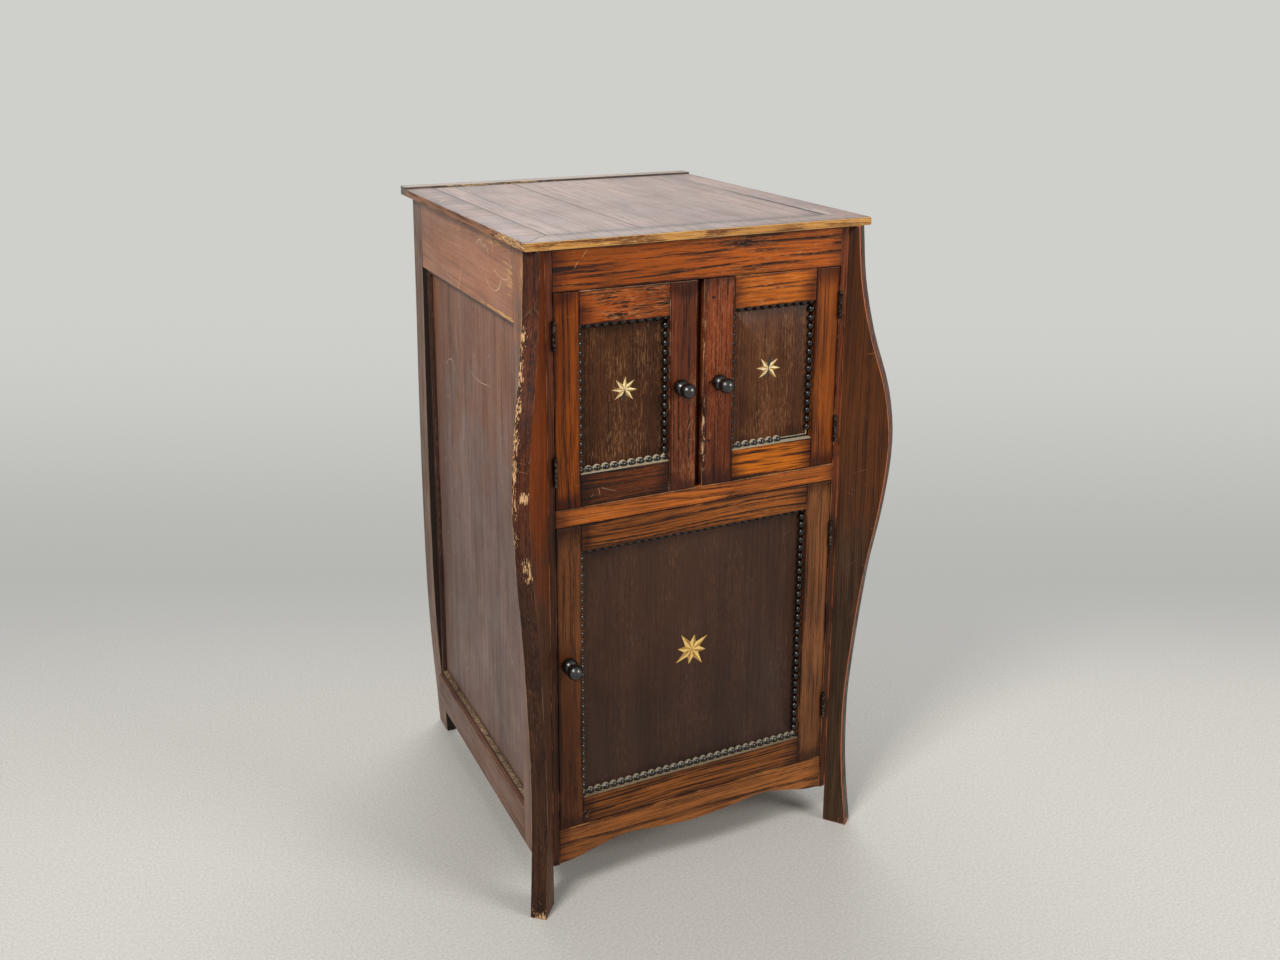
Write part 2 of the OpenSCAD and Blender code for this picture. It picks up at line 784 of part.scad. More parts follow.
// A shaft with a friction disc and three weights held by flat springs between two collars.
module governor() {
    collar_x = [18, 50];
    collar_r = 6;
    disc_x = 46;
    disc_r = 16;
    weight_at = [13, 0, 34];
    weight_r = 5;
    spring_w = 4;
    spring_x = 20;
    color("goldenrod")
    translate([0, governor_y, crank_at[1]])
    rotate([0, 90, 0]) {
        translate([0, 0, governor_x]) cylinder(r = governor_r, h = governor_l);
        translate([0, 0, collar_x[0]]) cylinder(r = collar_r, h = 6);
        translate([0, 0, collar_x[1]]) cylinder(r = collar_r, h = 5);
        translate([0, 0, disc_x]) cylinder(r = disc_r, h = 3);
        for (a = [0, 120, 240])
            rotate([0, 0, a]) {
                translate(weight_at) sphere(weight_r);
                translate([0, -spring_w / 2, spring_x]) cube([weight_at[0] + 1, spring_w, 1]);
                translate([weight_at[0] - 0.5, -spring_w / 2, spring_x])
                    cube([1, spring_w, disc_x - spring_x + 1]);
            }
    }
}

// The dished plate with its hub, and the shaft through it that ends in the record pin.
module turntable() {
    color("silver") {
        difference() {
            upright(spindle, table_low, table_top, table_r);
            difference() {
                upright(spindle, table_low - cut, table_top - table_wall, table_r - table_wall);
                upright(spindle, table_low - 2 * cut, table_top, hub_r);
            }
            upright(spindle, table_low - cut, table_top + cut, shaft_r + run_gap);
        }
        union() {
            upright(spindle, motor_low + end_gap, table_top + mat_t, shaft_r);
            upright(spindle, table_top, table_top + mat_t + record_pin_l, spindle_r);
            upright(spindle, crank_at[1] - bearing_half, crank_at[1] + bearing_half, wheel_r);
        }
    }
}

module turntable_mat() {
    color("darkgreen")
    difference() {
        upright(spindle, table_top, table_top + mat_t, table_r - 4);
        upright(spindle, table_top - cut, table_top + mat_t + cut, shaft_r + end_gap);
    }
}

// Turned away from the turntable, its pad swings in against the rim.
module brake_lever() {
    to_spindle = atan2(spindle[1] - brake_at[1], spindle[0] - brake_at[0]);
    arm_t = 3;
    arm_half = 4;
    handle_x = -30;
    pad_x = 44;
    pad_r = 5;
    color("silver")
    translate([brake_at[0], brake_at[1], 0])
    rotate([0, 0, to_spindle + 45]) {
        upright([0, 0], deck_z - brake_pin_l, brake_arm_z + arm_t, brake_pin_r);
        upright([0, 0], deck_z + end_gap, brake_arm_z + arm_t, 2 * brake_pin_r);
        block([handle_x, -arm_half, brake_arm_z], [pad_x - 2, arm_half, brake_arm_z + arm_t]);
        upright([handle_x, 0], brake_arm_z, brake_arm_z + 11, pad_r);
        upright([pad_x, 0], brake_arm_z, brake_arm_z + 13, pad_r);
    }
}

// ---- tonearm ----

// Flanged socket on the motor board, and the tube from it down to the horn.
module tonearm_base() {
    color("silver") {
        difference() {
            union() {
                upright(arm_at, deck_z, deck_z + socket_h, base_r);
                upright(arm_at, deck_z, deck_z + 6, flange_r);
            }
            upright(arm_at, deck_z - cut, deck_z + socket_h + cut, socket_r);
        }
        difference() {
            upright(arm_at, throat_z, deck_z - lid_gap, base_r);
            upright(arm_at, throat_z - cut, deck_z, socket_r);
        }
    }
}

module in_arm() {
    translate([arm_at[0], arm_at[1], arm_z]) rotate([0, 0, arm_turn]) children();
}

// Upright socket, elbow, tapering tube and the stub that carries the soundbox.
module tonearm() {
    foot = 20 - arm_h;                     // lower end of the pin in the socket
    collar = socket_h + end_gap - arm_h;
    neck_r = 12;
    bore_r = 10;
    elbow_r = 13.5;
    tube_r = [11.5, 8];                    // outside, at the elbow and at the soundbox
    tube_bore_r = [9, 5];
    stub_l = 17;
    color("silver")
    in_arm()
    difference() {
        union() {
            translate([0, 0, foot]) cylinder(r = socket_r - run_gap, h = collar - foot);
            translate([0, 0, collar]) cylinder(r = base_r, h = 6);
            translate([0, 0, collar + 5.7]) cylinder(r = neck_r, h = -collar - 5.7);
            sphere(elbow_r);
            rotate([90, 0, 0]) cylinder(r1 = tube_r[0], r2 = tube_r[1], h = arm_l);
            translate([0, -arm_l, 0]) sphere(tube_r[1] + 1);
            translate([-stub_l, -arm_l, 0]) rotate([0, 90, 0]) cylinder(r = stub_r, h = stub_l);
        }
        translate([0, 0, foot - cut]) cylinder(r = bore_r, h = cut - foot);
        rotate([90, 0, 0]) cylinder(r1 = tube_bore_r[0], r2 = tube_bore_r[1], h = arm_l);
        translate([-stub_l - cut, -arm_l, 0]) rotate([0, 90, 0]) cylinder(r = 3, h = stub_l + cut);
    }
}

// A round box with a sunk diaphragm, needle bar, chuck and needle.
module soundbox() {
    face = -10 - box_t;
    rim = 4;                               // width of the rim and depth of the diaphragm
    chuck_x = face + 5;
    chuck_r = 4;
    needle_z = -36;
    needle_r = 0.8;
    stub_x = -17.3;                        // end of the bore for the tonearm's stub
    color("silver")
    in_arm()
    translate([0, -arm_l, 0])
    difference() {
        union() {
            translate([face, 0, 0]) rotate([0, 90, 0]) cylinder(r = box_r, h = box_t);
            needle_bar(face);
            translate([chuck_x, 0, -box_r - 2]) sphere(chuck_r);
            translate([chuck_x, 0, needle_z]) cylinder(r = needle_r, h = -needle_z - box_r + 1);
        }
        difference() {
            translate([face - cut, 0, 0]) rotate([0, 90, 0]) cylinder(r = box_r - rim, h = rim + cut);
            needle_bar(face);
        }
        translate([stub_x, 0, 0]) rotate([0, 90, 0]) cylinder(r = stub_r + run_gap, h = 10);
    }
}

// The bar from the chuck up to the middle of the diaphragm.
module needle_bar(face) { block([face - 2, -2, -box_r - 3], [face + 4.5, 2, 2]); }

// ---- winding crank ----

// The winding shaft with its wheel inside, the flat arm and the pin for the grip.
module crank() {
    grip_z = crank_at[1] - crank_throw;
    arm_end = crank_arm_x + crank_arm_t;
    arm_half = 8;
    pin_head_r = 7;
    color("dimgray") {
        translate([crank_in, crank_at[0], crank_at[1]])
            rotate([0, 90, 0]) cylinder(r = crank_r, h = arm_end - crank_in);
        translate([crank_in, crank_at[0], crank_at[1]])
            rotate([0, 90, 0]) cylinder(r = wheel_r, h = 6);
        block([crank_arm_x, crank_at[0] - arm_half, grip_z - arm_half],
              [arm_end, crank_at[0] + arm_half, crank_at[1] + arm_half + 2]);
        translate([arm_end - cut, crank_at[0], grip_z])
            rotate([0, 90, 0]) cylinder(r = grip_pin_r, h = crank_reach - arm_end + cut);
        translate([crank_reach - pin_head_t, crank_at[0], grip_z])
            rotate([0, 90, 0]) cylinder(r = pin_head_r, h = pin_head_t);
    }
}

module crank_grip() {
    color("black")
    translate([crank_arm_x + crank_arm_t + grip_gap, crank_at[0], crank_at[1] - crank_throw])
    rotate([0, 90, 0])
    difference() {
        cylinder(r = grip_r, h = grip_l);
        translate([0, 0, -cut]) cylinder(r = grip_pin_r + run_gap, h = grip_l + 2 * cut);
    }
}

// ---- nodes ----

in_frame() post(-1);  // front_left_post
in_frame() post(1);  // front_right_post
in_frame() rear_leg(-1);  // rear_left_leg
in_frame() rear_leg(1);  // rear_right_leg
in_frame() front_stile(-1);  // left_front_stile
in_frame() front_stile(1);  // right_front_stile
in_frame() side_rail(-1, side_top_z, case_top);  // left_top_rail
in_frame() side_rail(1, side_top_z, case_top);  // right_top_rail
in_frame() side_rail(-1, base_z, base_top);  // left_bottom_rail
in_frame() side_rail(1, base_z, base_top);  // right_bottom_rail
in_frame() side_panel(-1, false);  // left_side_panel
in_frame() side_panel(1, true);  // right_side_panel
in_frame() front_top_rail();
in_frame() middle_rail();
in_frame() apron();
in_frame() back_top_rail();
in_frame() back_panel();
in_frame() floor_board();
in_frame() shelf();
in_frame() horn_fascia();
in_frame() horn();
in_frame() motor_board();
in_frame() lid_frame();
in_frame() lid_rear_strip();
in_frame() lid_panel();
in_frame() left_stiles();  // left_door_stiles
in_frame() door_rails(left_door);  // left_door_rails
in_frame() door_panel(left_door, left_star);  // left_door_panel
in_frame() door_beading(left_door, 0);  // left_door_beading
in_frame() door_star(left_star);  // left_door_star
in_frame() door_knob(knob_x[0], small_knob_z);  // left_door_knob
in_frame() door_hinge_leaves(-1, small_hinge_z);  // left_door_hinge_leaves
in_frame() door_stiles(right_door, 1, small_hinge_z);  // right_door_stiles
in_frame() door_rails(right_door);  // right_door_rails
in_frame() door_panel(right_door, right_star);  // right_door_panel
in_frame() door_beading(right_door, lost_beads);  // right_door_beading
in_frame() door_star(right_star);  // right_door_star
in_frame() door_knob(knob_x[1], small_knob_z);  // right_door_knob
in_frame() door_hinge_leaves(1, small_hinge_z);  // right_door_hinge_leaves
in_frame() door_stiles(lower_door, 1, lower_hinge_z);  // lower_door_stiles
in_frame() door_rails(lower_door);  // lower_door_rails
in_frame() door_panel(lower_door, lower_star);  // lower_door_panel
in_frame() door_beading(lower_door, 0);  // lower_door_beading
in_frame() door_star(lower_star);  // lower_door_star
in_frame() door_knob(knob_x[2], lower_knob_z);  // lower_door_knob
in_frame() door_hinge_leaves(1, lower_hinge_z);  // lower_door_hinge_leaves
in_frame() case_hinge_leaves();
in_frame() lid_hinge_plates();
in_frame() lid_hinge_flaps();
in_frame() motor_frame();
in_frame() spring_barrel();
in_frame() governor();
in_frame() turntable();
in_frame() turntable_mat();
in_frame() tonearm_base();
in_frame() tonearm();
in_frame() soundbox();
in_frame() crank();
in_frame() crank_grip();
in_frame() brake_lever();
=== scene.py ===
# %% [markdown]
# # A floor-standing gramophone cabinet
# The real object is a small oak cabinet: a case between two bowed front posts and two plain rear
# legs, a lid that lifts over the turntable, two small doors over the horn and one large door over
# the records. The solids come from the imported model, already in place and in metres. This lesson
# gives each of them its surface: soft arrises, oak grain, worn polish, black knobs and metal.

# %% The frame, and a way to write a place in the cabinet's own millimetres
import bpy, bmesh, json, math, random
from mathutils import Matrix, Vector


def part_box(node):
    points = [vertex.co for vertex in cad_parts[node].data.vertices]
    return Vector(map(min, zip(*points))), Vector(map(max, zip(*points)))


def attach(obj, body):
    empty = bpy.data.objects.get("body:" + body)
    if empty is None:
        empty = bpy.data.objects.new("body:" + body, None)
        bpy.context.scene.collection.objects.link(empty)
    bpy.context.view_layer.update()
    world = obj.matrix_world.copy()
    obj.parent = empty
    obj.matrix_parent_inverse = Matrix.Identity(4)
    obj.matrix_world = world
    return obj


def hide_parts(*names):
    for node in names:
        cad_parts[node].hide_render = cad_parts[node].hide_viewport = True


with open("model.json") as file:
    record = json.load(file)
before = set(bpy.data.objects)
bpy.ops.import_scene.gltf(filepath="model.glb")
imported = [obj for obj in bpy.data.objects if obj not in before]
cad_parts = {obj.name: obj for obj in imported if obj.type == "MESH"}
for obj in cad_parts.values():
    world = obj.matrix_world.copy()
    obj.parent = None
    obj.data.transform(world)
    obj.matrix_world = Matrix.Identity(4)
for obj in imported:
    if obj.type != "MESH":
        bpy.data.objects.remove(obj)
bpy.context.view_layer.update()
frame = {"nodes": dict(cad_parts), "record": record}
record = frame["record"]
CABINET_MIDDLE = Vector((16.181, 245.805, 0))


def place(x, y, z):
    """A point given in millimetres from the middle of the doors' foot, in the frame's metres."""
    return (Vector((x, y, z)) - CABINET_MIDDLE) / 1000


body_of = {node: body for body, nodes in record["behaviour"]["bodies"].items() for node in nodes}
slot_of = {part["node"]: part["material_slot"] for part in record["subparts"]}

# %% [markdown]
# ## The camera
# The photographer stood in front and to the left, a little above the lid. The place, turn and lens
# were fitted to the edges of the real cabinet, so the same corners fall on the same spots. The
# small upward shift keeps the framing without tilting the uprights.

# %% Camera
yaw, pitch, roll = math.radians(25.55), math.radians(-14.03), math.radians(0.19)
ahead = Vector((math.sin(yaw) * math.cos(pitch), math.cos(yaw) * math.cos(pitch), math.sin(pitch)))
level = Vector((math.cos(yaw), -math.sin(yaw), 0))
above = level.cross(ahead)
rightward = math.cos(roll) * level + math.sin(roll) * above
above = math.cos(roll) * above - math.sin(roll) * level
camera = bpy.data.objects.new("camera", bpy.data.cameras.new("camera"))
bpy.context.collection.objects.link(camera)
turn = Matrix((rightward, above, -ahead)).transposed()
camera.matrix_world = Matrix.Translation(place(-759.3, -1395.8, 1190.3)) @ turn.to_4x4()
camera.data.lens, camera.data.sensor_width = 35.24, 36
camera.data.shift_y = -0.1163
bpy.context.scene.camera = camera
print("camera at", [round(c, 3) for c in camera.location])

# %% [markdown]
# ## Small tools for the finishes
# A finish is a network of nodes, and short helpers keep it readable. The first adds any node and
# fills or links its inputs. The next ones stand for the nodes that come up all the time. The last
# ones start a material, or a group: a reusable piece of network with named inputs and outputs.

# %% Helpers for node networks
def linear(code):
    """A colour written as on screen, such as 8a5226, as Blender's linear red, green and blue."""
    parts = [int(code[i:i + 2], 16) / 255 for i in (0, 2, 4)]
    return [c / 12.92 if c < 0.04045 else ((c + 0.055) / 1.055) ** 2.4 for c in parts] + [1]


def add(tree, kind, out=0, **inputs):
    """Adds a node. A plain value fills an input, a socket is linked to it. Returns an output."""
    node = tree.nodes.new("ShaderNode" + kind)
    for key in [k for k in inputs if k.startswith("set_")]:
        setattr(node, key[4:], inputs.pop(key))
    for key, value in inputs.items():
        name = key.replace("_", " ")
        socket = node.inputs[int(key[1:])] if key[0] == "i" and key[1:].isdigit() else node.inputs[name]
        if isinstance(value, bpy.types.NodeSocket):
            tree.links.new(value, socket)
        else:
            socket.default_value = value
    return node.outputs[out]


def sums(tree, operation, a, b=0.0):
    return add(tree, "Math", set_operation=operation, i0=a, i1=b)


def plus(tree, a, b):
    return sums(tree, "ADD", a, b)


def times(tree, a, b):
    return sums(tree, "MULTIPLY", a, b)


def vectors(tree, operation, a, b=(0, 0, 0)):
    """Sums with vectors. A length and a dot product are numbers, which the second output gives."""
    return add(tree, "VectorMath", int(operation in ("LENGTH", "DISTANCE", "DOT_PRODUCT")),
               set_operation=operation, i0=a, i1=b)


def split(tree, vector):
    """The x, y and z of a vector."""
    node = tree.nodes.new("ShaderNodeSeparateXYZ")
    tree.links.new(vector, node.inputs[0])
    return node.outputs


def noise(tree, where, scale, detail, roughness=0.5, out=0):
    return add(tree, "TexNoise", out, Vector=where, Scale=scale, Detail=detail, Roughness=roughness)


def reach(tree, value, low, high, to_low=0.0, to_high=1.0):
    """Spreads the values between low and high over a new range, with soft ends."""
    return add(tree, "MapRange", set_interpolation_type="SMOOTHSTEP", i0=value, i1=low, i2=high,
               i3=to_low, i4=to_high)


def blend(tree, share, a, b, mode="MIX"):
    """Mixes two colours."""
    return add(tree, "Mix", 2, set_data_type="RGBA", set_blend_type=mode, i0=share, i6=a, i7=b)


def fresh(name):
    """A new material, with its nodes and its main shader."""
    material = bpy.data.materials.new(name)
    material.use_nodes = True
    return material, material.node_tree, material.node_tree.nodes["Principled BSDF"]


def seen_straight(tree):
    """One where the camera, a mirror or glass looks at a thing, and zero for all other light."""
    rays = tree.nodes.new("ShaderNodeLightPath").outputs
    seen = sums(tree, "MAXIMUM", rays["Is Camera Ray"], rays["Is Glossy Ray"])
    return sums(tree, "MAXIMUM", seen, rays["Is Transmission Ray"])


def group(name, inputs, outputs):
    """A new shader node group. Gives the tree and its input and output nodes."""
    tree = bpy.data.node_groups.new(name, "ShaderNodeTree")
    for label, kind, value in inputs:
        socket = tree.interface.new_socket(name=label, in_out="INPUT", socket_type="NodeSocket" + kind)
        if value is not None:
            socket.default_value = value
    for label, kind in outputs:
        tree.interface.new_socket(name=label, in_out="OUTPUT", socket_type="NodeSocket" + kind)
    return tree, tree.nodes.new("NodeGroupInput").outputs, tree.nodes.new("NodeGroupOutput").inputs


# %% [markdown]
# ## Floor and backdrop
# A photographer's paper sweep: the floor runs back and curves up into the backdrop, so no line
# shows behind the object. One strip of faces is extruded step by step along that curve and then
# turned to face the camera. Near the object the paper is lit like everything else and keeps its
# shadow. Farther back it shows an even grey of its own to the camera and to reflections, with
# painted shade that makes it a little darker where the floor ends, as such a sweep looks when no
# lamp is turned to it.

# %% The sweep
def finished(name, bm, materials):
    """Turns a bmesh into an object at the origin, with its materials."""
    mesh = bpy.data.meshes.new(name)
    bm.to_mesh(mesh)
    bm.free()
    piece = bpy.data.objects.new(name, mesh)
    bpy.context.collection.objects.link(piece)
    for material in materials:
        mesh.materials.append(material)
    return piece


paper, tree, shader = fresh("paper_sweep")
shader.inputs["Roughness"].default_value = 0.9
shader.inputs["Specular IOR Level"].default_value = 0.1
here = add(tree, "TexCoord", 3)
mottled = noise(tree, here, 260.0, 3.0, 0.7)
tree.links.new(blend(tree, reach(tree, mottled, 0.3, 0.7), linear("b9b9b5"), linear("cacac7")),
               shader.inputs["Base Color"])
back = vectors(tree, "DOT_PRODUCT", here, (math.sin(yaw), math.cos(yaw), 1.0))
share = times(tree, seen_straight(tree), reach(tree, back, 0.15, 0.75))
# Painted shade: the grey is darker where the floor ends and paler farther back.
grey = blend(tree, reach(tree, back, 0.6, 2.4), linear("b6b6b3"), linear("cfcfcc"))
glow = add(tree, "Emission", Color=grey, Strength=1.0)
mixed = add(tree, "MixShader", Fac=share, i1=shader.outputs[0], i2=glow)
tree.links.new(mixed, tree.nodes["Material Output"].inputs["Surface"])

HALF_WIDTH, FRONT, BEND_START, BEND_RADIUS, BEND_STEPS, WALL = 6.5, 4.0, 1.3, 1.2, 12, 3.0
bm = bmesh.new()
edge = bm.edges.new([bm.verts.new((x, -FRONT, 0)) for x in (-HALF_WIDTH, HALF_WIDTH)])
steps = [Vector((0, BEND_START + FRONT, 0))]
last = Vector((0, 0, 0))
for i in range(1, BEND_STEPS + 1):
    a = math.radians(90) * i / BEND_STEPS
    point = Vector((0, BEND_RADIUS * math.sin(a), BEND_RADIUS * (1 - math.cos(a))))
    steps.append(point - last)
    last = point
steps.append(Vector((0, 0, WALL)))
for step in steps:
    out = bmesh.ops.extrude_edge_only(bm, edges=[edge])["geom"]
    bmesh.ops.translate(bm, verts=[g for g in out if isinstance(g, bmesh.types.BMVert)], vec=step)
    edge = next(g for g in out if isinstance(g, bmesh.types.BMEdge))
bmesh.ops.rotate(bm, verts=bm.verts, matrix=Matrix.Rotation(-yaw, 3, "Z"))
for face in bm.faces:
    face.smooth = True
bmesh.ops.recalc_face_normals(bm, faces=bm.faces)
if sum(f.normal.z for f in bm.faces) < 0:
    bmesh.ops.reverse_faces(bm, faces=bm.faces)
sweep = finished("paper_sweep", bm, [paper])
print("sweep faces", len(sweep.data.polygons))

# %% [markdown]
# ## Light
# Soft lamps stand in for a studio's soft boxes: one high on the left, one in front on the right to
# open the shadows, and a larger one above and behind that puts the sheen on the lid. They are wide
# enough for soft shadows, and small enough to show as bright spots on knobs and beads. Their power
# is set so that a colour renders about as it is written. The room beyond the paper gives a weak
# light from all round, and looks as pale as the paper itself.

# %% Lamps and world
def lamp(name, at, towards, size, power, tint="ffffff"):
    """A square lamp at one place, turned towards another."""
    light = bpy.data.lights.new(name, "AREA")
    light.shape, light.size, light.energy = "SQUARE", size, power
    light.color = linear(tint)[:3]
    thing = bpy.data.objects.new(name, light)
    bpy.context.collection.objects.link(thing)
    thing.location = at
    thing.rotation_euler = (Vector(towards) - Vector(at)).to_track_quat("-Z", "Y").to_euler()


lamp("high_left", (-2.2, -1.6, 2.9), (0, 0, 0.5), 0.9, 90, "fffaf4")
lamp("front_right", (1.9, -2.8, 1.9), (0, 0, 0.5), 1.3, 68, "fffaf4")
lamp("over_the_back", (0.45, 1.7, 2.7), (0, 0.1, 0.9), 2.2, 54)
world = bpy.data.worlds.new("room")
bpy.context.scene.world = world
world.use_nodes = True
sky = world.node_tree
room_light = sky.nodes["Background"]
room_light.inputs["Color"].default_value = linear("f4f4f2")
room_light.inputs["Strength"].default_value = 0.25
beyond = sky.nodes.new("ShaderNodeBackground")
beyond.inputs["Color"].default_value = linear("cfcfcc")
mixed = add(sky, "MixShader", Fac=seen_straight(sky), i1=room_light.outputs[0], i2=beyond.outputs[0])
sky.links.new(mixed, sky.nodes["World Output"].inputs["Surface"])
bpy.context.scene.view_settings.view_transform = "Standard"

# %% [markdown]
# ## Oak
# Oak shows growth rings, and in each ring a band of open pores that stain makes dark. A board is
# a slice through a log, so the pattern is made as a log is: rings around an axis that lies beside
# the board and a little aslant. The same network then gives long stripes where the saw went
# through the rings and arches where it went along them, and the faces of a board agree at its
# corners. Long dark streaks and short pores break the rings up, and flecks are the light dashes
# where the varnish has left the pores. The inputs are the place in the log and how tight and wild
# the rings are.

# %% The grain group
oak, o_in, o_out = group(
    "oak_grain",
    [("Place", "Vector", None), ("Ring width", "Float", 0.0045), ("Wildness", "Float", 0.006)],
    [("Rings", "Float"), ("Pores", "Float"), ("Fibre", "Float"), ("Flecks", "Float"),
     ("Cloud", "Float")])
slow = vectors(oak, "MULTIPLY", o_in["Place"], (9, 9, 2.2))
drift = noise(oak, slow, 1.0, 2.5, 0.55, out=1)
drift = vectors(oak, "SUBTRACT", drift, (0.5, 0.5, 0.5))
drift = vectors(oak, "MULTIPLY", drift, times(oak, o_in["Wildness"], 4.0))
inside = vectors(oak, "ADD", o_in["Place"], drift)
long = vectors(oak, "MULTIPLY", inside, (340, 340, 8))
short = vectors(oak, "MULTIPLY", inside, (900, 900, 75))
streak = noise(oak, long, 1.0, 3.0, 0.6)
dots = noise(oak, short, 1.0, 1.5)
pore = reach(oak, plus(oak, streak, times(oak, dots, 0.35)), 0.62, 0.82)
flat = vectors(oak, "MULTIPLY", inside, (1, 1, 0))
count = sums(oak, "DIVIDE", vectors(oak, "LENGTH", flat), o_in["Ring width"])
uneven = add(oak, "TexNoise", set_noise_dimensions="1D", W=count, Scale=0.55, Detail=2.0)
count = plus(oak, plus(oak, count, times(oak, uneven, 3.0)), times(oak, pore, 0.10))
ring = sums(oak, "FRACT", count)
early = times(oak, reach(oak, ring, 0.0, 0.08), reach(oak, ring, 0.62, 0.22))
strength = add(oak, "TexNoise", set_noise_dimensions="1D", W=count, Scale=0.23, Detail=1.0)
rings = times(oak, early, reach(oak, strength, 0.35, 0.62, 0.25, 1.0))
rings = times(oak, rings, plus(oak, 0.75, times(oak, pore, 0.35)))
thin = vectors(oak, "MULTIPLY", inside, (330, 330, 8))
fibre = noise(oak, thin, 1.0, 4.0, 0.65)
dash = vectors(oak, "MULTIPLY", o_in["Place"], (720, 720, 80))
fleck = reach(oak, noise(oak, dash, 1.0, 2.0, 0.7), 0.53, 0.61)
cloud = noise(oak, slow, 1.6, 4.0)
spread = noise(oak, slow, 3.1, 2.0)
fleck = times(oak, fleck, reach(oak, spread, 0.38, 0.60, 0.25, 1.0))
for label, socket in (("Rings", rings), ("Pores", pore), ("Fibre", fibre), ("Flecks", fleck),
                      ("Cloud", cloud)):
    oak.links.new(socket, o_out[label])
print("grain nodes", len(oak.nodes))

# %% [markdown]
# ## Age
# A hundred years leave scratches and uneven, rubbed areas. A scratch is thin and almost straight,
# so it is made as a set of widely spaced lines, of which a noise leaves only short lengths, more
# of them in some areas than in others. Blotches come from a slow noise.

# %% The age group
age, a_in, a_out = group("age_marks", [("Place", "Vector", None), ("Density", "Float", 0.5)],
                         [("Scratches", "Float"), ("Blotches", "Float")])
wavy = noise(age, a_in["Place"], 7.0, 2.0)
lines = None
for direction, seed in (((17, 11, 9), 0.1), ((-9, 14, 15), 4.7), ((6, -5, 21), 9.2),
                        ((19, 3, -12), 6.1)):
    along = vectors(age, "DOT_PRODUCT", a_in["Place"], direction)
    across = sums(age, "FRACT", plus(age, along, times(age, wavy, 1.7)))
    line = reach(age, sums(age, "ABSOLUTE", sums(age, "SUBTRACT", across, 0.5)), 0.011, 0.003)
    moved = vectors(age, "ADD", a_in["Place"], (seed, seed * 2, seed * 3))
    cut = noise(age, moved, 42.0, 1.0)
    line = times(age, line, reach(age, cut, 0.60, 0.68))
    lines = line if lines is None else sums(age, "MAXIMUM", lines, line)
area = reach(age, noise(age, a_in["Place"], 9.0, 1.0), 0.50, 0.62, 0.12, 1.0)
lines = times(age, lines, area)
blotch = noise(age, a_in["Place"], 16.0, 5.0, 0.65)
age.links.new(times(age, lines, a_in["Density"]), a_out["Scratches"])
age.links.new(blotch, a_out["Blotches"])
print("age nodes", len(age.nodes))

# %% [markdown]
# ## Edges of a board
# Dirt and old polish gather where a board meets the next one, and hands rub the arrises. Both
# depend on how far a point is from the board's own edges. On a box-shaped board one of the three
# distances to the faces is zero, so the middle one of the three is the distance to the nearest
# arris.

# %% The edges group
edges, e_in, e_out = group(
    "board_edges", [("Place", "Vector", None), ("Low", "Vector", None), ("High", "Vector", None)],
    [("Arris", "Float"), ("Ends", "Vector")])
above_low = vectors(edges, "SUBTRACT", e_in["Place"], e_in["Low"])
below_high = vectors(edges, "SUBTRACT", e_in["High"], e_in["Place"])
near = vectors(edges, "MINIMUM", above_low, below_high)
dx, dy, dz = split(edges, near)
least = sums(edges, "MINIMUM", sums(edges, "MAXIMUM", dx, dy),
             sums(edges, "MAXIMUM", sums(edges, "MINIMUM", dx, dy), dz))
edges.links.new(least, e_out["Arris"])
edges.links.new(near, e_out["Ends"])
print("edges nodes", len(edges.nodes))

# %% [markdown]
# ## The stained finish
# The cabinet was stained and varnished, and every board took the colour a little differently.
# One function builds the finish, and each board gets its own three colours: ground between the
# rings, dark in the pores, and bare where hands and knocks have taken the varnish off. The
# arrises come from an attribute named worn, which the softened edges carry: old polish makes them
# dark, and where they are rubbed they are bare. The heart is the log's axis beside the board, and
# aslant its lean in degrees. Ring, wild, figure and pores shape the grain, the other numbers set
# dirt, wear and polish. A board can also have these, with places in millimetres:
# - fade: the heights between which the ground turns into a third colour,
# - shades: painted shade and dirt beside a neighbour, by the way in from it, where it is, depth and
#   amount,
# - chips: small flakes lost around a place, by place, reach each way and amount,
# - holes: nail holes, by place and radius,
# - cuts: curved scratches, by middle, radius, the way the arc lies and how little of it shows.

# %% Finish for one board
GRAIN_TURN = {"x": (0, 90, 0), "y": (-90, 0, 0), "z": (0, 0, 0)}
# The first tint darkens dirt and painted shade alike, the second old polish.
DIRT_AND_SHADE_TINT, POLISH_TINT = (0.22, 0.17, 0.15, 1), (0.2, 0.16, 0.15, 1)
HOLE_BLACK, RAW_CUT = (0.004, 0.003, 0.003, 1), linear("e6cfac")
UP = (0, 0, 1)


def used(tree, shared, where, **values):
    """Puts a shared group into a material."""
    node = tree.nodes.new("ShaderNodeGroup")
    node.node_tree = shared
    tree.links.new(where, node.inputs["Place"])
    for key, value in values.items():
        node.inputs[key.replace("_", " ")].default_value = value
    return node.outputs


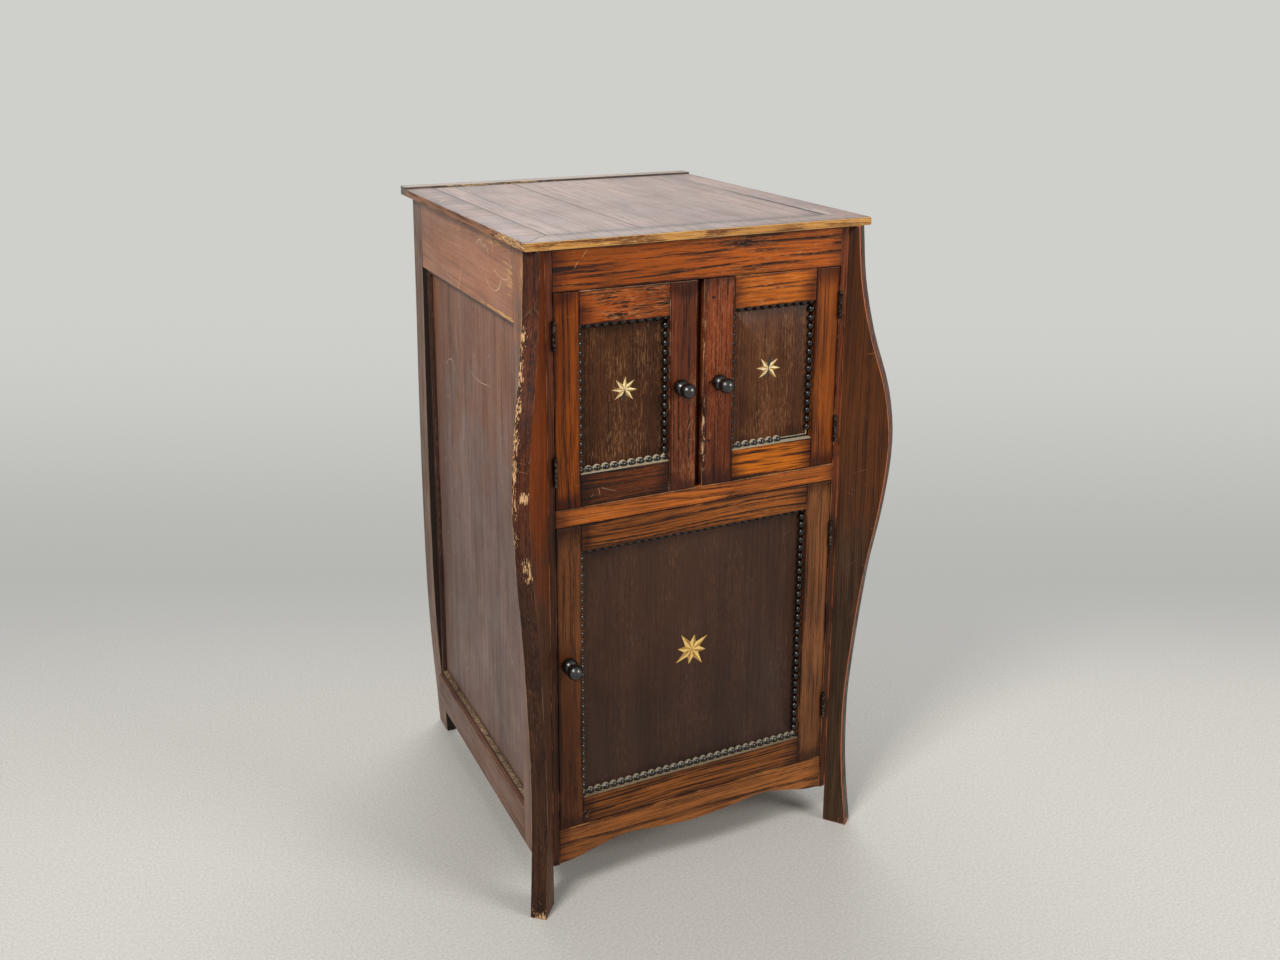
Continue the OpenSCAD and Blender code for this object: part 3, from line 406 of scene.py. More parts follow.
def stained(name, low, high, grain, ground, dark, bare="a9703c", heart=(0, 0.07, 0), aslant=(1.5, 0),
            ring=0.0045, wild=0.006, figure=0.8, pores=0.42, flecks=None, cloudy=0.5, grime=0.6,
            soot=0.75, wear=0.3, rub=None, scratch=0.3, gloss=0.34, shine=0.18,
            square=True, fade=None, shades=(), chips=(), holes=(), cuts=()):
    """The oak finish of a board that reaches from low to high."""
    material, tree, shader = fresh(name)
    shader.inputs["Specular IOR Level"].default_value = shine
    here = add(tree, "TexCoord", 3)
    lean = {"x": (0, *aslant), "y": (aslant[0], 0, aslant[1]), "z": (*aslant, 0)}[grain]
    turn = tuple(math.radians(a + b) for a, b in zip(GRAIN_TURN[grain], lean))
    log = add(tree, "Mapping", set_vector_type="TEXTURE", Vector=here,
              Location=(low + high) / 2 + Vector(heart), Rotation=turn)
    wood = used(tree, oak, log, Ring_width=ring, Wildness=wild)
    marks = used(tree, age, here, Density=scratch)
    board = used(tree, edges, here, Low=low, High=high)
    worn = add(tree, "Attribute", 2, set_attribute_type="GEOMETRY", set_attribute_name="worn")
    blotch = sums(tree, "SUBTRACT", marks["Blotches"], 0.5)

    def ragged(value, amount):
        return plus(tree, value, times(tree, blotch, amount))

    def away_from(at):
        return vectors(tree, "SUBTRACT", here, place(*at))

    # The grain: how much of the dark colour shows.
    ground, dark, bare = linear(ground), linear(dark), linear(bare)
    share = times(tree, wood["Rings"], figure)
    share = plus(tree, share, times(tree, wood["Pores"], pores * figure))
    fibre = reach(tree, wood["Fibre"], 0.30, 0.70, -0.48 * figure, 0.58 * figure)
    share = add(tree, "Clamp", Value=plus(tree, share, fibre))
    if fade:
        height = ragged(split(tree, here)[2], 0.4)
        faded = reach(tree, height, fade[0] / 1000, fade[1] / 1000)
        ground = blend(tree, faded, ground, linear(fade[2]))
    colour = blend(tree, share, ground, dark)
    if flecks:
        colour = blend(tree, times(tree, wood["Flecks"], flecks[0]), colour, linear(flecks[1]))

    # Dirt in clouds and at the ends and edges of a square board; painted shade and dirt beside its
    # neighbours.
    dirt_and_shade = reach(tree, wood["Cloud"], 0.32, 0.68, cloudy, 0.0)
    if square:
        end = ragged(split(tree, board["Ends"])["xyz".index(grain)], 0.05)
        dirt = reach(tree, end, 0.030, -0.006, 0.0, grime)
        rim = reach(tree, ragged(board["Arris"], 0.010), 0.0045, 0.0, 0.0, grime)
        dirt = sums(tree, "MAXIMUM", dirt, rim)
        dirt_and_shade = add(tree, "Clamp", Value=plus(tree, dirt_and_shade, dirt))
    for inward, at, depth, amount in shades:
        way = [float(inward[0] + "1") * (axis == inward[1]) for axis in "xyz"]
        off = vectors(tree, "DOT_PRODUCT", away_from([at * abs(w) for w in way]), way)
        off = ragged(off, depth * 0.0012)
        dirt_and_shade = sums(tree, "MAXIMUM", dirt_and_shade, reach(tree, off, depth / 1000, 0.0, 0.0, amount))
    colour = blend(tree, dirt_and_shade, colour, DIRT_AND_SHADE_TINT, "MULTIPLY")
    colour = blend(tree, times(tree, worn, soot), colour, POLISH_TINT, "MULTIPLY")

    # Bare wood: on rubbed arrises and where flakes are lost.
    if rub:
        facing = vectors(tree, "DOT_PRODUCT", add(tree, "NewGeometry", 1), rub)
        worn = times(tree, worn, reach(tree, facing, 0.25, 0.55))
    rubbed = ragged(times(tree, worn, 0.8), 2.6)
    rubbed = times(tree, reach(tree, rubbed, 1.1 - 0.7 * wear, 1.3 - 0.7 * wear), worn)
    if chips:
        flakes = noise(tree, vectors(tree, "MULTIPLY", log, (560, 560, 75)), 1.0, 3.0, 0.75)
    for at, size, amount in chips:
        off = vectors(tree, "DIVIDE", away_from(at), [r / 1000 for r in size])
        near = reach(tree, vectors(tree, "LENGTH", off), 1.0, 0.2, 0.0, 0.22 * amount)
        flake = reach(tree, plus(tree, flakes, near), 0.66, 0.69)
        rubbed = sums(tree, "MAXIMUM", rubbed, times(tree, flake, reach(tree, near, 0.0, 0.04)))
    colour = blend(tree, rubbed, colour, bare)

    # Nail holes, single cuts and fine scratches.
    for at, size in holes:
        far = vectors(tree, "DISTANCE", here, place(*at))
        colour = blend(tree, reach(tree, far, size / 1000, size * 0.0006), colour, HOLE_BLACK)
    scratches = marks["Scratches"]
    for at, radius, aim, hidden in cuts:
        off = away_from(at)
        far = ragged(vectors(tree, "LENGTH", off), 0.012)
        far = sums(tree, "ABSOLUTE", sums(tree, "SUBTRACT", far, radius / 1000))
        arc = vectors(tree, "DOT_PRODUCT", off, aim)
        arc = reach(tree, arc, radius * hidden / 1000, (radius * hidden + 3) / 1000)
        arc = times(tree, arc, reach(tree, wood["Fibre"], 0.38, 0.6, 0.15, 0.85))
        cut = times(tree, reach(tree, far, 0.0009, 0.0003), arc)
        colour = blend(tree, cut, colour, RAW_CUT)
        scratches = sums(tree, "MAXIMUM", scratches, cut)
    colour = blend(tree, marks["Scratches"], colour, bare)
    tree.links.new(colour, shader.inputs["Base Color"])

    rough = reach(tree, marks["Blotches"], 0.3, 0.7, gloss, gloss + 0.16)
    rough = plus(tree, rough, times(tree, share, 0.12))
    tree.links.new(plus(tree, rough, times(tree, rubbed, 0.2)), shader.inputs["Roughness"])
    height = sums(tree, "SUBTRACT", times(tree, share, -0.5), times(tree, scratches, 0.6))
    bump = add(tree, "Bump", Height=height, Strength=0.4, Distance=0.0004)
    tree.links.new(bump, shader.inputs["Normal"])
    return material


print("stained finish ready")

# %% [markdown]
# ## Boards with soft arrises
# A joiner takes the sharpness off every arris, and use rounds it further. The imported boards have
# knife edges, so each board is a merged copy of its solid with its long outer edges bevelled by
# about a millimetre. The middle line of each bevel gets the attribute worn, where the finish lets
# bare wood through. Boards that share a node are told apart as separate islands, and each gets a
# finish of its own, laid out from its own corners.

# %% A softened copy of a board
ROUNDED, SQUARE, SHARP = 28, 60, 21     # degrees between two faces


def islands(bm):
    """Groups the faces into separate solids."""
    left, groups = set(bm.faces), []
    while left:
        stack, found = [left.pop()], []
        while stack:
            face = stack.pop()
            found.append(face)
            for near in (f for e in face.edges for f in e.link_faces if f in left):
                left.discard(near)
                stack.append(near)
        groups.append(found)
    return groups


def corners(faces):
    """The lowest and the highest corner of a group of faces."""
    points = [v.co for f in faces for v in f.verts]
    return (Vector([min(p[i] for p in points) for i in range(3)]),
            Vector([max(p[i] for p in points) for i in range(3)]))


def stands_for(piece, *nodes):
    """The piece takes the place of these nodes and moves with their body."""
    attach(piece, body_of[nodes[0]])
    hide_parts(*nodes)


def toned(kind, ground, dark, bare=None, **more):
    """A look of one kind of board in colours of its own."""
    look = dict(kind, ground=ground, dark=dark, **more)
    return dict(look, bare=bare) if bare else look


def turns(edge, degrees):
    """Whether two faces meet in an outward corner of more than so many degrees."""
    return edge.is_manifold and edge.calc_face_angle_signed(0) > math.radians(degrees)


def softened(node, *looks, arris=0.0011, order="x", shortest=0.014, shape=None, special=()):
    """Makes the piece that stands for a wooden node. Each look finishes one of its solids, in order
    along an axis, and each special look the faces that its test picks by their normal, middle and
    number of look. Short edges are softened only at square ends."""
    bm = bmesh.new()
    bm.from_mesh(frame["nodes"][node].data)
    bmesh.ops.remove_doubles(bm, verts=bm.verts, dist=1e-5)
    bmesh.ops.dissolve_limit(bm, angle_limit=math.radians(0.3), verts=bm.verts, edges=bm.edges)
    key, finishes = "xyz".index(order), []
    for index, faces in enumerate(sorted(islands(bm), key=lambda fs: corners(fs)[0][key])):
        low, high = corners(faces)
        look = looks[min(index, len(looks) - 1)]
        finishes.append(stained(f"{node}_{index}_oak", low, high, **look))
        for face in faces:
            face.material_index = index
    if shape:
        shape(bm)
    for test, look in special:
        picked = [f for f in bm.faces if test(f.normal, f.calc_center_median(), f.material_index)]
        low, high = corners(bm.faces)
        finishes.append(stained(f"{node}_{len(finishes)}_oak", low, high, **look))
        for face in picked:
            face.material_index = len(finishes) - 1
    worn = bm.verts.layers.float.new("worn")
    chosen = [e for e in bm.edges if e.calc_length() > shortest and turns(e, ROUNDED)]
    chosen += [e for e in bm.edges if e.calc_length() <= shortest and turns(e, SQUARE)
               and all(sum(turns(g, SQUARE) for g in v.link_edges) == 2 for v in e.verts)]
    made = bmesh.ops.bevel(bm, geom=chosen, offset=arris, offset_type="OFFSET", segments=2, profile=0.5,
                           affect="EDGES", clamp_overlap=False, material=-1)
    rounded = set(made["faces"])
    for vert in made["verts"]:
        if vert.is_valid and all(f in rounded for f in vert.link_faces):
            vert[worn] = 1.0
    for face in bm.faces:
        face.smooth = True
    piece = finished(node + "_board", bm, finishes)
    piece.data.set_sharp_from_angle(angle=math.radians(SHARP))
    stands_for(piece, node)


def finish_node(node, material):
    """Gives a carried-over solid its finish."""
    data = frame["nodes"][node].data
    data.materials.clear()
    data.materials.append(material)


def to_front(normal, middle, number):
    """The test for the faces that look forward."""
    return normal.y < -0.9


print("board tools ready")

# %% [markdown]
# ## Posts and legs
# The two front posts are thick boards set at an angle across the corners and sawn to a bowed
# outline. Their stain went dark red-brown and faded to a grey-brown lower down, and painted shade
# darkens the left one under the lid. The edge of the left post has lost flakes of its finish where
# it bulges out and gets knocked. The rear legs are square and nearly straight, and their front
# faces, in the corner beside the side panel, are painted dark as shade.

# %% Posts and legs
EDGE_X, EDGE_Y = -0.643, -0.766     # the way the left post's bowed edge faces
post = dict(grain="z", ring=0.0026, wild=0.0035, figure=0.55, square=False, shine=0.2, soot=0.5)
flaked = [((-238 + EDGE_X * out, 13 + EDGE_Y * out, z), (11, 11, 44), amount)
          for z, out, amount in ((815, 28, 0.7), (775, 38, 0.85), (735, 50, 0.8), (695, 61, 0.8),
                                 (655, 67, 0.75), (615, 71, 0.65), (575, 69, 0.5))]
flaked += [((-270, -48, 624), (11, 11, 13), 1.25), ((-258, -56, 594), (7, 7, 14), 0.9),
           ((-264, -44, 528), (14, 14, 34), 0.7), ((-243, -18, 0), (30, 30, 20), 0.8)]
# Painted shade: the front of the left post is darker under the lid.
softened("front_left_post",
    toned(post, "7c380f", "361809", "a8865f", heart=(0.09, 0.09, 0), aslant=(0.8, 0.5), wear=0.65,
        scratch=0.2, flecks=(0.1, "b06c34"), fade=(620, 420, "523423"),
        shades=[("-z", 915, 120, 0.5)]), arris=0.0016,
    special=[(lambda n, c, k: n.x * EDGE_X + n.y * EDGE_Y > 0.7,
        toned(post, "572a18", "220e08", "cfa67a", heart=(0.092, -0.077, 0), wear=0.7, aslant=(0.1, 0.1),
            figure=0.9, flecks=(0.2, "946240"), scratch=0.2, fade=(600, 450, "452716"), cloudy=0.8,
            rub=(-0.766, 0.3, 0), chips=flaked))])
softened("front_right_post",
    toned(post, "582e10", "241208", "c0714a", heart=(-0.09, 0.09, 0), aslant=(0.8, -0.6), wear=1.3,
        scratch=0.25, figure=0.7, fade=(640, 300, "4d3725"),
        chips=[((250, -20, 0), (30, 30, 16), 0.6)]), arris=0.0016)
leg = dict(grain="z", ground="8a6a56", dark="503a2e", bare="b49874", heart=(0.04, 0.05, 0), ring=0.004,
    wear=0.6, shine=0.3, soot=0.5, square=False)
# Painted shade: the front faces of the rear legs, in the corner beside the side panel, are dark.
for node in ("rear_left_leg", "rear_right_leg"):
    softened(node, leg, arris=0.0013, special=[(to_front, toned(leg, "22130d", "120907", "4a3224"))])
print("posts done")

# %% [markdown]
# ## Case boards
# The front stiles stand beside the doors, and the rails lie between them. The rails in front are
# the brightest boards of the cabinet. The sides are a faded plum-brown, also on the side faces of
# the stiles, where a painted shadow lies beside the post. Around a side panel the fillet's corner
# is painted dark as shade, and dust and wear make its lower ledge pale. Painted shade also darkens
# the front rails under the lid and along the gaps round the doors.

# %% Case boards
for node, heart in (("left_front_stile", 0.05), ("right_front_stile", -0.05)):
    front = dict(grain="z", ground="74381a", dark="2c130a", bare="b07048", heart=(heart, 0.09, 0),
        ring=0.003, wild=0.003, figure=0.6, wear=0.8, fade=(620, 480, "502e1c"))
    out = -1 if heart > 0 else 1
    # Painted shadow: a dark line on the stile's side face where the post stands beside it.
    softened(node, front,
        special=[(lambda n, c, k: n.x * out > 0.9 and abs(c.x - place(0, 0, 0).x) > 0.22,
            toned(front, "b27c5c", "6c4836", "d2a468", scratch=0.8, fade=(860, 770, "87675a"),
                soot=0.15, grime=0.2, figure=0.3, shine=0.35, shades=[("+y", 15, 4.5, 0.75)],
                chips=[((-238, 12, 880), (20, 45, 42), 1.05), ((-238, 15, 816), (20, 30, 12), 1.0)]))])
for node in ("left_top_rail", "right_top_rail"):
    softened(node,
        dict(grain="y", ground="b37a5b", dark="764b39", bare="d2a468", heart=(0.07, 0, 0.02),
            ring=0.006, figure=0.34, wear=0.9, scratch=1.0, shine=0.35, soot=0.1, grime=0.1,
            flecks=(0.2, "cfa078"), cloudy=0.45, rub=(0, 0, -1),
            chips=[((-238, 70, 872), (20, 50, 45), 0.58), ((-238, 150, 908), (20, 80, 10), 0.7),
                ((-238, 100, 817), (20, 140, 3.5), 1.2)],
            cuts=[((-238, 144, 882), 40, (0, -0.1, -1), 0.55),
                ((-238, 110, 930), 66, (0, 0.1, -1), 0.9), ((-238, 195, 888), 12, (0, 0.2, 1), 0.4),
                ((-238, 172, 882), 14, (0, -0.3, 1), 0.5), ((-238, 150, 899), 10, (0, -1, 0.2), 0.4),
                ((-238, 345, 862), 66, (0, -0.88, -0.48), 0.92)]))
for node in ("left_bottom_rail", "right_bottom_rail"):
    softened(node,
        dict(grain="y", ground="86604f", dark="4c3128", bare="bd9a72", heart=(0.07, 0, 0.02),
            ring=0.006, figure=0.5, wear=1.0, rub=UP, scratch=0.6, shine=0.35, grime=0.2))
side = dict(grain="z", ground="8e5f46", dark="3c261c", bare="b9977a", heart=(0.12, 0.02, 0), ring=0.005,
    wild=0.003, figure=0.34, pores=0.9, flecks=(0.26, "ab8c76"), wear=0.2, scratch=0.9, shine=0.35,
    soot=0.5, cloudy=0.45, square=False)
# Painted shade darkens each side panel above its lower ledge and towards its back, and the walls of its
# recess that face front and back.
for node in ("left_side_panel", "right_side_panel"):
    softened(node,
        dict(side, fade=(740, 480, "85685f"), shades=[("+z", 119, 14, 0.7), ("-y", 473, 10, 0.5)],
            cuts=[((-229, 392, 664), 22, UP, 0.3), ((-229, 250, 848), 162, (0, 0, -1), 0.965),
                ((-229, 480, 722), 120, (0, -1, 0), 0.985),
                ((-229, 300, 590), 60, (0, 0.5, -0.85), 0.96)]), arris=0.0008,
        special=[(lambda n, c, k: abs(n.y) > 0.5, toned(side, "3c2218", "1c0e0a", "6a4a38")),
            (lambda n, c, k: n.z > 0.5, toned(side, "a88c6c", "4a3426", cloudy=0.6, figure=0.9)),
            (lambda n, c, k: abs(n.x) > 0.9 and abs(c.x - place(0, 0, 0).x) > 0.2282,
                toned(side, "553629", "2a1811"))])
# Painted shadow under the lid's edge and painted shade over the doors darken this rail; it is also
# darker towards its ends.
softened("front_top_rail",
    dict(grain="x", ground="aa5310", dark="1e0903", bare="d8a868", heart=(0, 0.05, 0.03),
        aslant=(0.5, 1.0), ring=0.0065, wild=0.004, figure=1.35, pores=0.06, wear=0.3,
        flecks=(0.18, "e0a468"), scratch=0.7,
        shades=[("-z", 918.7, 7, 1.0), ("+x", -211, 36, 0.7), ("-x", 211, 26, 0.6),
            ("+z", 864, 2.5, 0.8)]))
# Painted shade darkens the middle rail and the apron along the door gaps; they are also darker towards
# one end.
softened("middle_rail",
    dict(grain="x", ground="c26a24", dark="361609", bare="e0b070", heart=(0, 0.05, -0.01), figure=0.9,
        ring=0.003, wear=1.1, rub=UP, flecks=(0.4, "d08a50"),
        shades=[("+z", 554, 3, 0.85), ("-x", 211, 30, 0.4)]))
softened("apron",
    dict(grain="x", ground="a0602c", dark="341a0c", bare="c48d54", heart=(0, 0.06, 0.06),
        aslant=(0.6, -1.6), wild=0.004, ring=0.003, figure=0.9, wear=0.6, cloudy=0.3,
        flecks=(0.15, "c08a58"), shades=[("-z", 112, 3, 0.85), ("+x", -211, 30, 0.6)]))
print("case boards done")

# %% [markdown]
# ## The lid
# The lid's frame, its panel of boards and the strip along its back are a faded plum-brown with a
# pale sheen. Its front edge is rubbed to a light ochre. The boards have dried and shrunk, which
# leaves a groove between two of them and gaps behind and on the right, and dark joints all round.
# Painted shade darkens the panel along these gaps and joints, the frame's inner face on the right
# and the front of the back strip. Only the upper arris of a shrunken edge draws back, so the open
# lid lets no light through.

# %% Lid
plum = dict(ground="94786f", dark="524542", figure=0.55, wear=0.25, scratch=0.7, gloss=0.36, shine=0.5,
    grime=0.5)
rubbed_edge = dict(grain="x", ground="c08a46", dark="6a3c18", bare="e2bd7c", figure=0.9, wear=1.5,
    scratch=0.8, soot=0.3, cloudy=0.2, grime=0.1, flecks=(0.3, "ecd29a"), square=False)
GROOVE, GROOVE_DEPTH = (-74.9, -73.5), 0.003
SIDE_GAP, BACK_GAPS, RAGGED = 0.0042, (0.0036, 0.0016), 0.0009


def shrunken(bm):
    """The panel's boards have dried: a groove between two of them, a gap behind and on the right."""
    def cuts(axis, values):
        for value in values:
            bmesh.ops.bisect_plane(bm, geom=bm.verts[:] + bm.edges[:] + bm.faces[:],
                                   plane_co=place(*[value if k == axis else 0 for k in range(3)]),
                                   plane_no=[float(k == axis) for k in range(3)], dist=1e-6)
    cuts(0, [*range(-190, 190, 20), *GROOVE])
    cuts(1, range(40, 500, 20))
    left, right = place(GROOVE[0] - 0.1, 0, 0).x, place(GROOVE[1] + 0.1, 0, 0).x
    joint = [f for f in bm.faces if f.normal.z > 0.9 and left < f.calc_center_median().x < right]
    sunk = bmesh.ops.extrude_face_region(bm, geom=joint)["geom"]
    bmesh.ops.translate(bm, verts=[v for v in sunk if isinstance(v, bmesh.types.BMVert)],
                        vec=(0, 0, -GROOVE_DEPTH))
    bmesh.ops.delete(bm, geom=joint, context="FACES")
    high = corners(bm.faces)[1]
    rng = random.Random(5)
    for vert in bm.verts:
        x, y = vert.co.x * 1000 + CABINET_MIDDLE.x, vert.co.y * 1000 + CABINET_MIDDLE.y
        if vert.co.z < high.z - 0.006:
            continue
        if vert.co.x > high.x - 1e-5 and y < 380:
            vert.co.x -= SIDE_GAP * math.sin(math.pi * min(1, (380 - y) / 490)) ** 1.3
        if vert.co.y > high.y - 1e-5:
            vert.co.y -= BACK_GAPS[x >= 60] + RAGGED * rng.random()


# Painted shade: the frame's inner face on the right, beside the gap, is nearly black.
softened("lid_frame",
    dict(plum, grain="y", heart=(0, 0, 0.08), ground="a0877e", bare="b88a55",
        holes=[((-212, y, 930), 1.9) for y in (94, 157, 288, 356)]),
    dict(plum, grain="x", heart=(0, 0, 0.08), bare="cba26c", wear=0.9, rub=(0, -1, 0)),
    dict(plum, grain="y", heart=(0, 0, 0.06), bare="b88a55"),
    special=[(lambda n, c, k: n.y < -0.9 and c.y < -0.2, rubbed_edge),
        (lambda n, c, k: n.x < -0.9 and c.x < -0.2,
            toned(rubbed_edge, "a06c4c", "5a3828", grain="y", wear=0.5, flecks=(0.1, "ecd29a"),
                chips=[((-250, 30, 925), (10, 110, 12), 0.7)])),
        (lambda n, c, k: n.x < -0.9 and c.x > 0.17, toned(plum, "1e130d", "0c0705", grain="y"))])
# Painted shade: the panel is darker beside the gaps behind and on the right and along its joints.
softened("lid_panel",
    dict(plum, grain="y", heart=(0, 0, 0.09), bare="a98c78", ring=0.006, soot=0.95,
        shades=[("-y", 521, 5, 0.95), ("+x", -205, 1.8, 0.9), ("+y", 34, 1.8, 0.9),
            ("-x", 203.5, 5, 1.0)]), arris=0.0005, shortest=0.5, shape=shrunken)
strip = toned(plum, "948070", "5e4a3e", grain="x", heart=(0, 0.03, 0.05), bare="b49a78")
# Painted shade: the front face of the back strip is dark, with flakes of ochre wear.
softened("lid_rear_strip", strip,
    special=[(to_front,
        toned(strip, "7c6a5c", "43352c", "b09468", soot=0.1, shades=[("-x", -207, 6, 1.0)],
            chips=[((-110, 521, 932), (150, 12, 9), 0.75)]))])
print("lid done")

# %% [markdown]
# ## The doors
# Each door has two stiles, two rails and a panel of darker oak. The maker didn't match the boards:
# bright orange ones stand beside dark red ones, and each gets its own colours here.

# %% Doors
def shade_round_door(left, right, low, high):
    """Painted shade in the narrow gaps round a door."""
    return [("+x", left, 3.2, 0.95), ("-x", right, 3.2, 0.95),
            ("+z", low, 3.2, 0.95), ("-z", high, 3.2, 0.95)]


left_gap = shade_round_door(-210.2, -1.6, 579.3, 863.2)
right_gap = shade_round_door(0.4, 210.2, 579.3, 863.2)
lower_gap = shade_round_door(-210.2, 210.2, 112.8, 553.2)
upright = dict(grain="z", ring=0.0032, wild=0.004, figure=0.75, cloudy=0.8, grime=0.8)
across = dict(grain="x", grime=0.8, figure=1.0)
softened("left_door_stiles",
    toned(upright, "974905", "301404", heart=(0.07, 0.06, 0), shades=left_gap),
    toned(upright, "88421e", "2a120a", "c09a74", heart=(0.1, 0.05, 0), scratch=0.6, wear=0.7,
        flecks=(0.6, "a87858"), shades=left_gap))
dust = dict(grain="x", ground="b8ac94", dark="7a6c58", bare="cfc4aa", figure=0.5, grime=0.2, cloudy=0.2,
    soot=0.1, gloss=0.5)
ledge = (lambda n, c, k: k == 0 and n.z > 0.9, dust)
softened("left_door_rails",
    toned(across, "66300d", "1b0b04", "cfc4aa", heart=(0, 0.09, 0.05), flecks=(0.12, "b47e54"),
        wear=2.0, rub=UP, shades=left_gap),
    toned(across, "a04c11", "200b04", "e8c090", heart=(0, 0.03, 0.03), aslant=(0.5, 3), wild=0.009,
        ring=0.006, figure=1.2, wear=1.1, rub=UP, flecks=(0.3, "e6b47c"),
        shades=left_gap[:3] + [("-x", -84, 34, 0.5)]), order="z", special=[ledge])
softened("right_door_stiles",
    toned(upright, "7c3816", "280f07", "c8a07c", heart=(-0.1, 0.05, 0), scratch=0.6, wear=1.0,
        rub=(-1, 0, 0), flecks=(0.42, "a8704e"),
        holes=[((14, 0, 838), 2.6), ((10, 0, 642), 2.8), ((11, 0, 723), 2.2)],
        chips=[((1, 0, 650), (5, 10, 80), 0.65), ((1, 0, 790), (5, 10, 60), 0.4)],
        shades=right_gap[1:]),
    toned(upright, "944c14", "331607", heart=(0.05, 0.05, 0),
        shades=right_gap + [("+z", 580, 50, 0.75)]))
softened("right_door_rails",
    toned(across, "ca6e10", "3a1604", "cfc4aa", heart=(0, 0.04, -0.03), aslant=(0.5, -2), wild=0.007,
        wear=2.0, rub=UP, shades=right_gap + [("-x", 174, 34, 0.9)]),
    toned(across, "cc6c16", "461b06", "dba766", heart=(0, 0.06, 0.05), figure=0.75, wear=0.9, rub=UP,
        flecks=(0.2, "e8b47c"), shades=right_gap[:3]), order="z", special=[ledge])
softened("lower_door_stiles",
    toned(upright, "6e3f1e", "26130a", heart=(-0.06, 0.05, 0), flecks=(0.2, "94603c"),
        shades=lower_gap + [("-z", 553, 40, 0.7)]),
    toned(upright, "85532e", "331c10", heart=(0.06, 0.05, 0), flecks=(0.15, "b07a4a"),
        shades=lower_gap))
softened("lower_door_rails",
    toned(across, "8a5020", "2c1407", "a8997c", heart=(0, 0.05, -0.05), aslant=(0.5, -1), wear=1.2,
        rub=UP, shades=lower_gap),
    toned(across, "9a561e", "2b1308", heart=(0, 0.05, 0.05), flecks=(0.25, "b07240"),
        shades=lower_gap + [("+x", -175, 46, 0.85), ("-x", 170, 30, 0.5)]), order="z",
    special=[(ledge[0], toned(dust, "83745e", "4c3f30", "9a8b72"))])
panel = dict(grain="z", bare="8f7258", ring=0.0022, wild=0.002, heart=(0.16, 0, 0), scratch=0.1,
    wear=0.2, flecks=(0.62, "8c6444"), grime=0.6, shine=0.12)
softened("left_door_panel", toned(panel, "4c2c18", "1b0e08", figure=0.6), arris=0.0006)
softened("right_door_panel", toned(panel, "5c3620", "22110a", figure=0.6), arris=0.0006)
softened("lower_door_panel",
    toned(panel, "432a1d", "26150f", figure=0.4, flecks=(0.12, "8c6444"), cloudy=0.35, shine=0.2,
        fade=(430, 200, "39261f")), arris=0.0006)
print("doors done")

# %% [markdown]
# ## Plain inner boards
# What the lid and doors hide is plain pale oak and pine, lightly stained.

# %% Inner boards
for node, grain, heart in (("back_panel", "z", (0, 0.09, 0)), ("back_top_rail", "x", (0, 0.06, 0)),
                           ("floor_board", "x", (0, 0, 0.09)), ("shelf", "x", (0, 0, 0.08)),
                           ("horn_fascia", "x", (0, 0.07, 0)), ("motor_board", "x", (0, 0, 0.08)),
                           ("horn", "y", (0.08, 0, 0.05))):
    softened(node,
        dict(grain=grain, ground="9a6a42", dark="5e3a22", bare="c39a6a", heart=heart, ring=0.006,
            wild=0.009, figure=0.6, wear=0.3, gloss=0.5), arris=0.0006)
print("inner boards done")

# %% [markdown]
# ## Metal and ebony
# The knobs are black and polished, the hinges dark iron, the beading black lacquer, and the
# machine under the lid is nickel, steel, brass and enamel. One finish serves them all: a colour
# with flecks of a second one, and a roughness that varies in blotches. These pieces keep their
# solids, and each gets its finish by its material slot.

# %% Metal and ebony
def plain(name, colour, metallic=0.0, rough=0.4, fleck="", amount=0.3, scale=60.0, bump=0.1, shine=0.5):
    """A metal, lacquer or cloth whose colour and roughness vary a little over the surface."""
    material, tree, shader = fresh(name)
    here = add(tree, "TexCoord", 3)
    marks = used(tree, age, here)
    fine = noise(tree, here, scale, 4.0)
    share = times(tree, reach(tree, fine, 0.4, 0.7), amount)
    share = sums(tree, "MAXIMUM", share, times(tree, marks["Scratches"], 0.5))
    tree.links.new(blend(tree, share, linear(colour), linear(fleck or colour)),
                   shader.inputs["Base Color"])
    tree.links.new(reach(tree, marks["Blotches"], 0.3, 0.7, rough - 0.06, rough + 0.1),
                   shader.inputs["Roughness"])
    shader.inputs["Metallic"].default_value = metallic
    shader.inputs["Specular IOR Level"].default_value = shine
    tree.links.new(add(tree, "Bump", Height=fine, Strength=bump, Distance=0.0003),
                   shader.inputs["Normal"])
    return material


ROW_START, ROW_END = 0.009, 0.0105      # the depth of one row of beads, with soft ends


def beads(node, dust_and_highlight):
    """Black lacquer with painted highlights on the faces turned from the front: pale on the bottom row,
    where dust also lies round the beads, and brown on the left row.
    """
    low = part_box(node)[0]
    material = plain(node + "_lacquer", "0c0a09", rough=0.16, fleck="2c2622", amount=0.35, scale=300)
    tree = material.node_tree
    shader = tree.nodes["Principled BSDF"]
    black = shader.inputs["Base Color"].links[0].from_socket
    x, _, z = split(tree, add(tree, "TexCoord", 3))
    away = reach(tree, split(tree, add(tree, "NewGeometry", 1))[1], -0.62, -0.22)
    row = reach(tree, z, low.z + ROW_END, low.z + ROW_START)
    # Painted highlights on the faces turned from the front: brown on the left row, pale on the bottom
    # row.
    left = times(tree, reach(tree, x, low.x + ROW_END, low.x + ROW_START), 0.5)
    colour = blend(tree, times(tree, left, away), black, linear("a08a6e"))
    colour = blend(tree, times(tree, row, times(tree, away, dust_and_highlight)), colour, linear("c4baa2"))
    tree.links.new(colour, shader.inputs["Base Color"])
    return material


